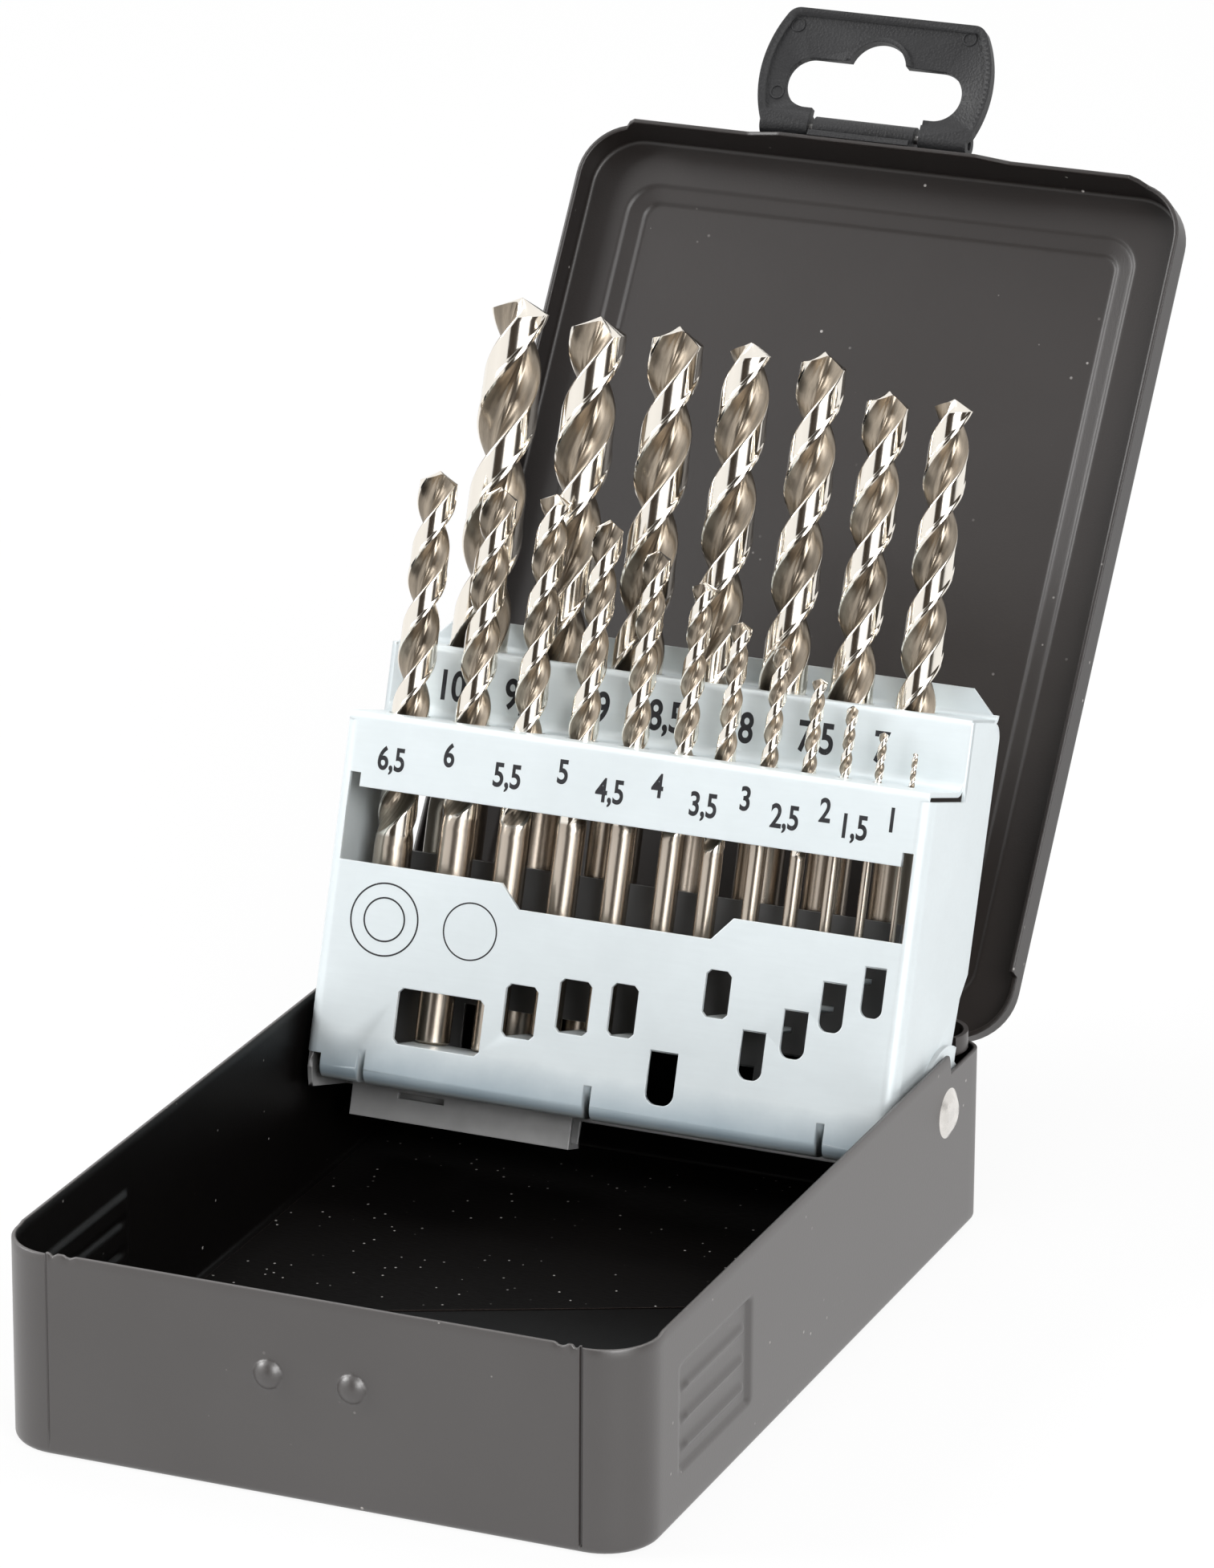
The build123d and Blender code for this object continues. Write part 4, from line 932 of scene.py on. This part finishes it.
class CASE_OT_pressings(bpy.types.Operator):
    """The pressed sheets, rivets, pins and tab, with their finishes"""

    bl_idname = "drill_case.pressings"
    bl_label = "Pressed sheets and fittings"

    def execute(self, context):
        for node, body, finish in (
            ("drill_rack", "rack", "rack_zinc"),
            ("shank_carrier", "rack", "carrier_dark"),
            ("pivot_rivet_left", "tray", "rivet_nickel"),
            ("pivot_rivet_right", "tray", "rivet_nickel"),
            ("lid_hinge_pin", "tray", "hinge_wire"),
            ("hanger_pin", "lid", "hinge_wire"),
            ("hanger_clip", "lid", "tab_plastic"),
            ("hang_tab", "tab", "tab_plastic"),
        ):
            smooth_copy(context, node, body, finish)
        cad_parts["floor_liner"].material_slots[0].material = finish_of(context, "liner_black")
        return {"FINISHED"}


def rack_place(across, up, out):
    """Matrix that lays a drawing in millimetres on the rack: across and up in millimetres, out in metres."""
    spot = RACK_ORIGIN + RIGHT * across * MM + RACK_UP * up * MM + RACK_OUT * out
    return placed(spot, RACK_UP, RACK_OUT)


class CASE_OT_sizes(bpy.types.Operator):
    """Drill sizes printed on the front plate and on the riser"""

    bl_idname = "drill_case.sizes"
    bl_label = "Printed sizes"

    def execute(self, context):
        sizes = context.scene.case_sizes
        for labels, height, out in (
            (FRONT_SIZES, sizes.digit, 0.0),
            (RISER_SIZES, sizes.riser_digit, -RISER_DEPTH),
        ):
            for text, across, up in labels:
                self.print_size(context, text, across, up, height / MM, out)
        return {"FINISHED"}

    def print_size(self, context, text, across, up, height, out):
        """One number, narrowed and centred on its place, as a thin closed layer of ink."""
        weight, narrowing = 0.022, 0.76
        name = "size_" + text.replace(",", "_")
        letters = bpy.data.curves.new(name, "FONT")
        letters.body = text
        letters.extrude = 0.5
        letters.offset = weight
        holder = linked(context, name, letters)
        context.view_layer.update()
        mesh = bpy.data.meshes.new_from_object(holder)
        bpy.data.objects.remove(holder)
        points = np.zeros(len(mesh.vertices) * 3)
        mesh.vertices.foreach_get("co", points)
        points = points.reshape(-1, 3)
        scale = height / points[:, 1].max()
        middle = (points[:, 0].min() + points[:, 0].max()) / 2
        thickness = context.scene.case_sizes.print_depth / MM
        points[:, 0] = (points[:, 0] - middle) * scale * narrowing
        points[:, 1] = points[:, 1] * scale - height / 2
        points[:, 2] = (points[:, 2] + letters.extrude) * thickness
        mesh.vertices.foreach_set("co", points.ravel())
        mesh.transform(rack_place(across, up, out))
        settle(context, name, mesh, "rack", "ink_black")


def ring_mesh(name, radius, width, height):
    """A flat ring: a small rectangle carried round a circle."""
    around = 96
    way = np.arange(around) * TAU / around
    corners = np.array([(-width / 2, 0), (width / 2, 0), (width / 2, height), (-width / 2, height)])
    reach = radius + corners[:, 0][:, None] + 0 * way
    lift = corners[:, 1][:, None] + 0 * way
    points = np.stack([reach * np.cos(way), reach * np.sin(way), lift], -1)
    i, j = np.meshgrid(np.arange(4), np.arange(around), indexing="ij")
    k, m = (i + 1) % 4, (j + 1) % around
    quads = np.stack([i * around + j, i * around + m, k * around + m, k * around + j], -1)
    mesh = bpy.data.meshes.new(name)
    mesh.from_pydata(points.reshape(-1, 3), [], quads.reshape(-1, 4).tolist())
    return mesh


class CASE_OT_rings(bpy.types.Operator):
    """Plain printed rings on the front plate"""

    bl_idname = "drill_case.rings"
    bl_label = "Printed rings"

    def execute(self, context):
        thickness = context.scene.case_sizes.print_depth / MM
        for name, across, up, radius, width in (
            ("ring_large", -40.4, -33.6, 6.0, 0.28),
            ("ring_inner", -40.4, -33.6, 3.6, 0.28),
            ("ring_small", -25.0, -33.4, 4.7, 0.25),
        ):
            mesh = ring_mesh(name, radius, width, thickness)
            mesh.transform(rack_place(across, up, 0.0))
            settle(context, name, mesh, "rack", "ink_black")
        return {"FINISHED"}


class CASE_OT_marks(bpy.types.Operator):
    """Round ejector marks left by the mould on the hanging tab"""

    bl_idname = "drill_case.marks"
    bl_label = "Ejector marks"

    def execute(self, context):
        radius, width, rise, tab_face = 1.15, 0.3, 0.15, 1.5
        for name, across, up in (("left", -16.2, 17.9), ("right", 15.2, 18.6), ("low", -17.2, 5.4)):
            mesh = ring_mesh("mark_" + name, radius, width, rise)
            mesh.transform(Matrix.Translation((across, up, tab_face)))
            mesh.transform(placed(BARREL, LID_FORWARD, LID_INWARD))
            settle(context, "mark_" + name, mesh, "tab", "tab_plastic")
        return {"FINISHED"}


class CASE_OT_stage(bpy.types.Operator):
    """White floor and world, soft lamps and the camera"""

    bl_idname = "drill_case.stage"
    bl_label = "Studio"

    def execute(self, context):
        self.floor(context)
        self.cards(context)
        self.world(context)
        self.lamps(context)
        self.camera(context)
        context.scene.view_settings.view_transform = "Standard"
        return {"FINISHED"}

    def floor(self, context):
        """A pale floor that rays from the lens see as nearly white, with the case's shadow left in."""
        side = 3.0
        mesh = bpy.data.meshes.new("floor")
        level = -0.05 * MM
        corners = [(-side, -side, level), (side, -side, level), (side, side, level), (-side, side, level)]
        mesh.from_pydata(corners, [], [(0, 1, 2, 3)])
        finish = Finish("floor_white", base_color=(0.86, 0.86, 0.86), roughness=0.9)
        seen = finish.node("ShaderNodeLightPath", output="Is Camera Ray")
        mirrored = finish.node("ShaderNodeLightPath", output="Is Glossy Ray")
        through = finish.node("ShaderNodeLightPath", output="Is Transmission Ray")
        finish.whiten((seen + mirrored + through).ramp(0, 1, 0, 0.9))
        mesh.materials.append(finish.material)
        linked(context, "floor", mesh)

    def cards(self, context):
        """Dark cards that the steel and the enamel reflect and the lens never sees: strips of a
        cylinder round the case, between two angles in degrees and two heights in metres."""
        distance, columns = 2.6, 16
        for name, start, end, low, high in (
            ("card_front", -103, -66, 0.10, 1.60),
            ("card_right", -22, 24, 0.10, 1.40),
            ("card_high", -150, -75, 1.75, 3.40),
        ):
            way, level = np.meshgrid(np.radians(np.linspace(start, end, columns)), (low, high))
            points = np.stack([distance * np.cos(way), distance * np.sin(way), level], -1)
            i = np.arange(columns - 1)
            quads = np.stack([i, i + 1, i + columns + 1, i + columns], -1)
            mesh = bpy.data.meshes.new(name)
            mesh.from_pydata(points.reshape(-1, 3), [], quads.tolist())
            finish = Finish(name, base_color=(0.05, 0.036, 0.025), roughness=1.0)
            finish.whiten(finish.node("ShaderNodeLightPath", output="Is Camera Ray"))
            mesh.materials.append(finish.material)
            linked(context, name, mesh)

    def world(self, context):
        """White to the lens, mirrors and glass, and a dimmer fill for all other light."""
        world = bpy.data.worlds.new("studio")
        world.use_nodes = True
        tree = world.node_tree
        paths = tree.nodes.new("ShaderNodeLightPath")
        share = paths.outputs["Is Camera Ray"]
        for ray in ("Is Glossy Ray", "Is Transmission Ray"):
            either = tree.nodes.new("ShaderNodeMath")
            either.operation = "MAXIMUM"
            tree.links.new(share, either.inputs[0])
            tree.links.new(paths.outputs[ray], either.inputs[1])
            share = either.outputs[0]
        fill = tree.nodes["Background"]
        white = tree.nodes.new("ShaderNodeBackground")
        for background, strength in ((fill, 0.40), (white, 1.0)):
            background.inputs["Color"].default_value = (1, 1, 1, 1)
            background.inputs["Strength"].default_value = strength
        mixed = tree.nodes.new("ShaderNodeMixShader")
        tree.links.new(share, mixed.inputs[0])
        tree.links.new(fill.outputs[0], mixed.inputs[1])
        tree.links.new(white.outputs[0], mixed.inputs[2])
        tree.links.new(mixed.outputs[0], tree.nodes["World Output"].inputs["Surface"])
        context.scene.world = world

    def lamps(self, context):
        """Square lamps that face the case: place and side in metres, power in watts."""
        target = Vector((0, 30, 60)) * MM
        for name, place, side, watts in (
            ("key", (-1.55, -0.55, 1.15), 0.9, 27),
            ("fill", (1.2, -1.1, 0.95), 1.0, 25),
            ("top", (0.1, 0.6, 1.7), 1.0, 12),
        ):
            lamp = bpy.data.lights.new(name, "AREA")
            lamp.size = side
            lamp.energy = watts
            facing = (Vector(place) - target).to_track_quat("Z", "Y").to_matrix().to_4x4()
            linked(context, name, lamp).matrix_world = Matrix.Translation(place) @ facing

    def camera(self, context):
        """Long lens in front and to the right, a little above the case. Focal length, picture and
        the place of the tray's origin in it are in pixels, the distance is in metres."""
        wide, tall = 1513, 1954
        origin_x, origin_y = 628.35, 1652.77
        sensor = 36
        focal, distance = 9870, 1.270
        azimuth, elevation, roll = radians(22.75), radians(19.73), radians(0.31)
        towards = Vector((sin(azimuth) * cos(elevation), -cos(azimuth) * cos(elevation), sin(elevation)))
        level = Vector((cos(azimuth), sin(azimuth), 0))
        upright = level.cross(-towards)
        right = cos(roll) * level + sin(roll) * upright
        up = cos(roll) * upright - sin(roll) * level
        across = (origin_x - wide / 2) * distance / focal
        rise = -(origin_y - tall / 2) * distance / focal
        place = towards * distance - across * right - rise * up - Vector((0, 0.4 * MM, 0))
        lens = bpy.data.cameras.new("camera")
        lens.lens = focal * sensor / tall
        lens.sensor_width = sensor
        lens.clip_start = 0.05
        camera = linked(context, "camera", lens)
        camera.matrix_world = Matrix.Translation(place) @ Matrix((right, up, towards)).transposed().to_4x4()
        context.scene.camera = camera


OPERATORS = (
    CASE_OT_pressings, CASE_OT_tray, CASE_OT_lid, CASE_OT_drills,
    CASE_OT_sizes, CASE_OT_rings, CASE_OT_marks, CASE_OT_stage,
)


class CASE_PT_panel(bpy.types.Panel):
    """Sidebar with the case's operators, sizes and colours"""

    bl_idname = "CASE_PT_panel"
    bl_label = "Drill bit case"
    bl_space_type = "VIEW_3D"
    bl_region_type = "UI"
    bl_category = "Drill case"

    def draw(self, context):
        for operator in OPERATORS:
            self.layout.operator(operator.bl_idname)
        for group in (context.scene.case_sizes, context.scene.case_colours):
            for name in group.bl_rna.properties.keys():
                if name not in ("rna_type", "name"):
                    self.layout.prop(group, name)


CLASSES = (CaseColours, CaseSizes, *OPERATORS, CASE_PT_panel)


def register():
    for item in CLASSES:
        bpy.utils.register_class(item)
    bpy.types.Scene.case_colours = PointerProperty(type=CaseColours)
    bpy.types.Scene.case_sizes = PointerProperty(type=CaseSizes)


def unregister():
    del bpy.types.Scene.case_sizes
    del bpy.types.Scene.case_colours
    for item in reversed(CLASSES):
        bpy.utils.unregister_class(item)


def main():
    register()
    for operator in OPERATORS:
        group, name = operator.bl_idname.split(".")
        getattr(getattr(bpy.ops, group), name)()


if __name__ == "__main__":
    main()
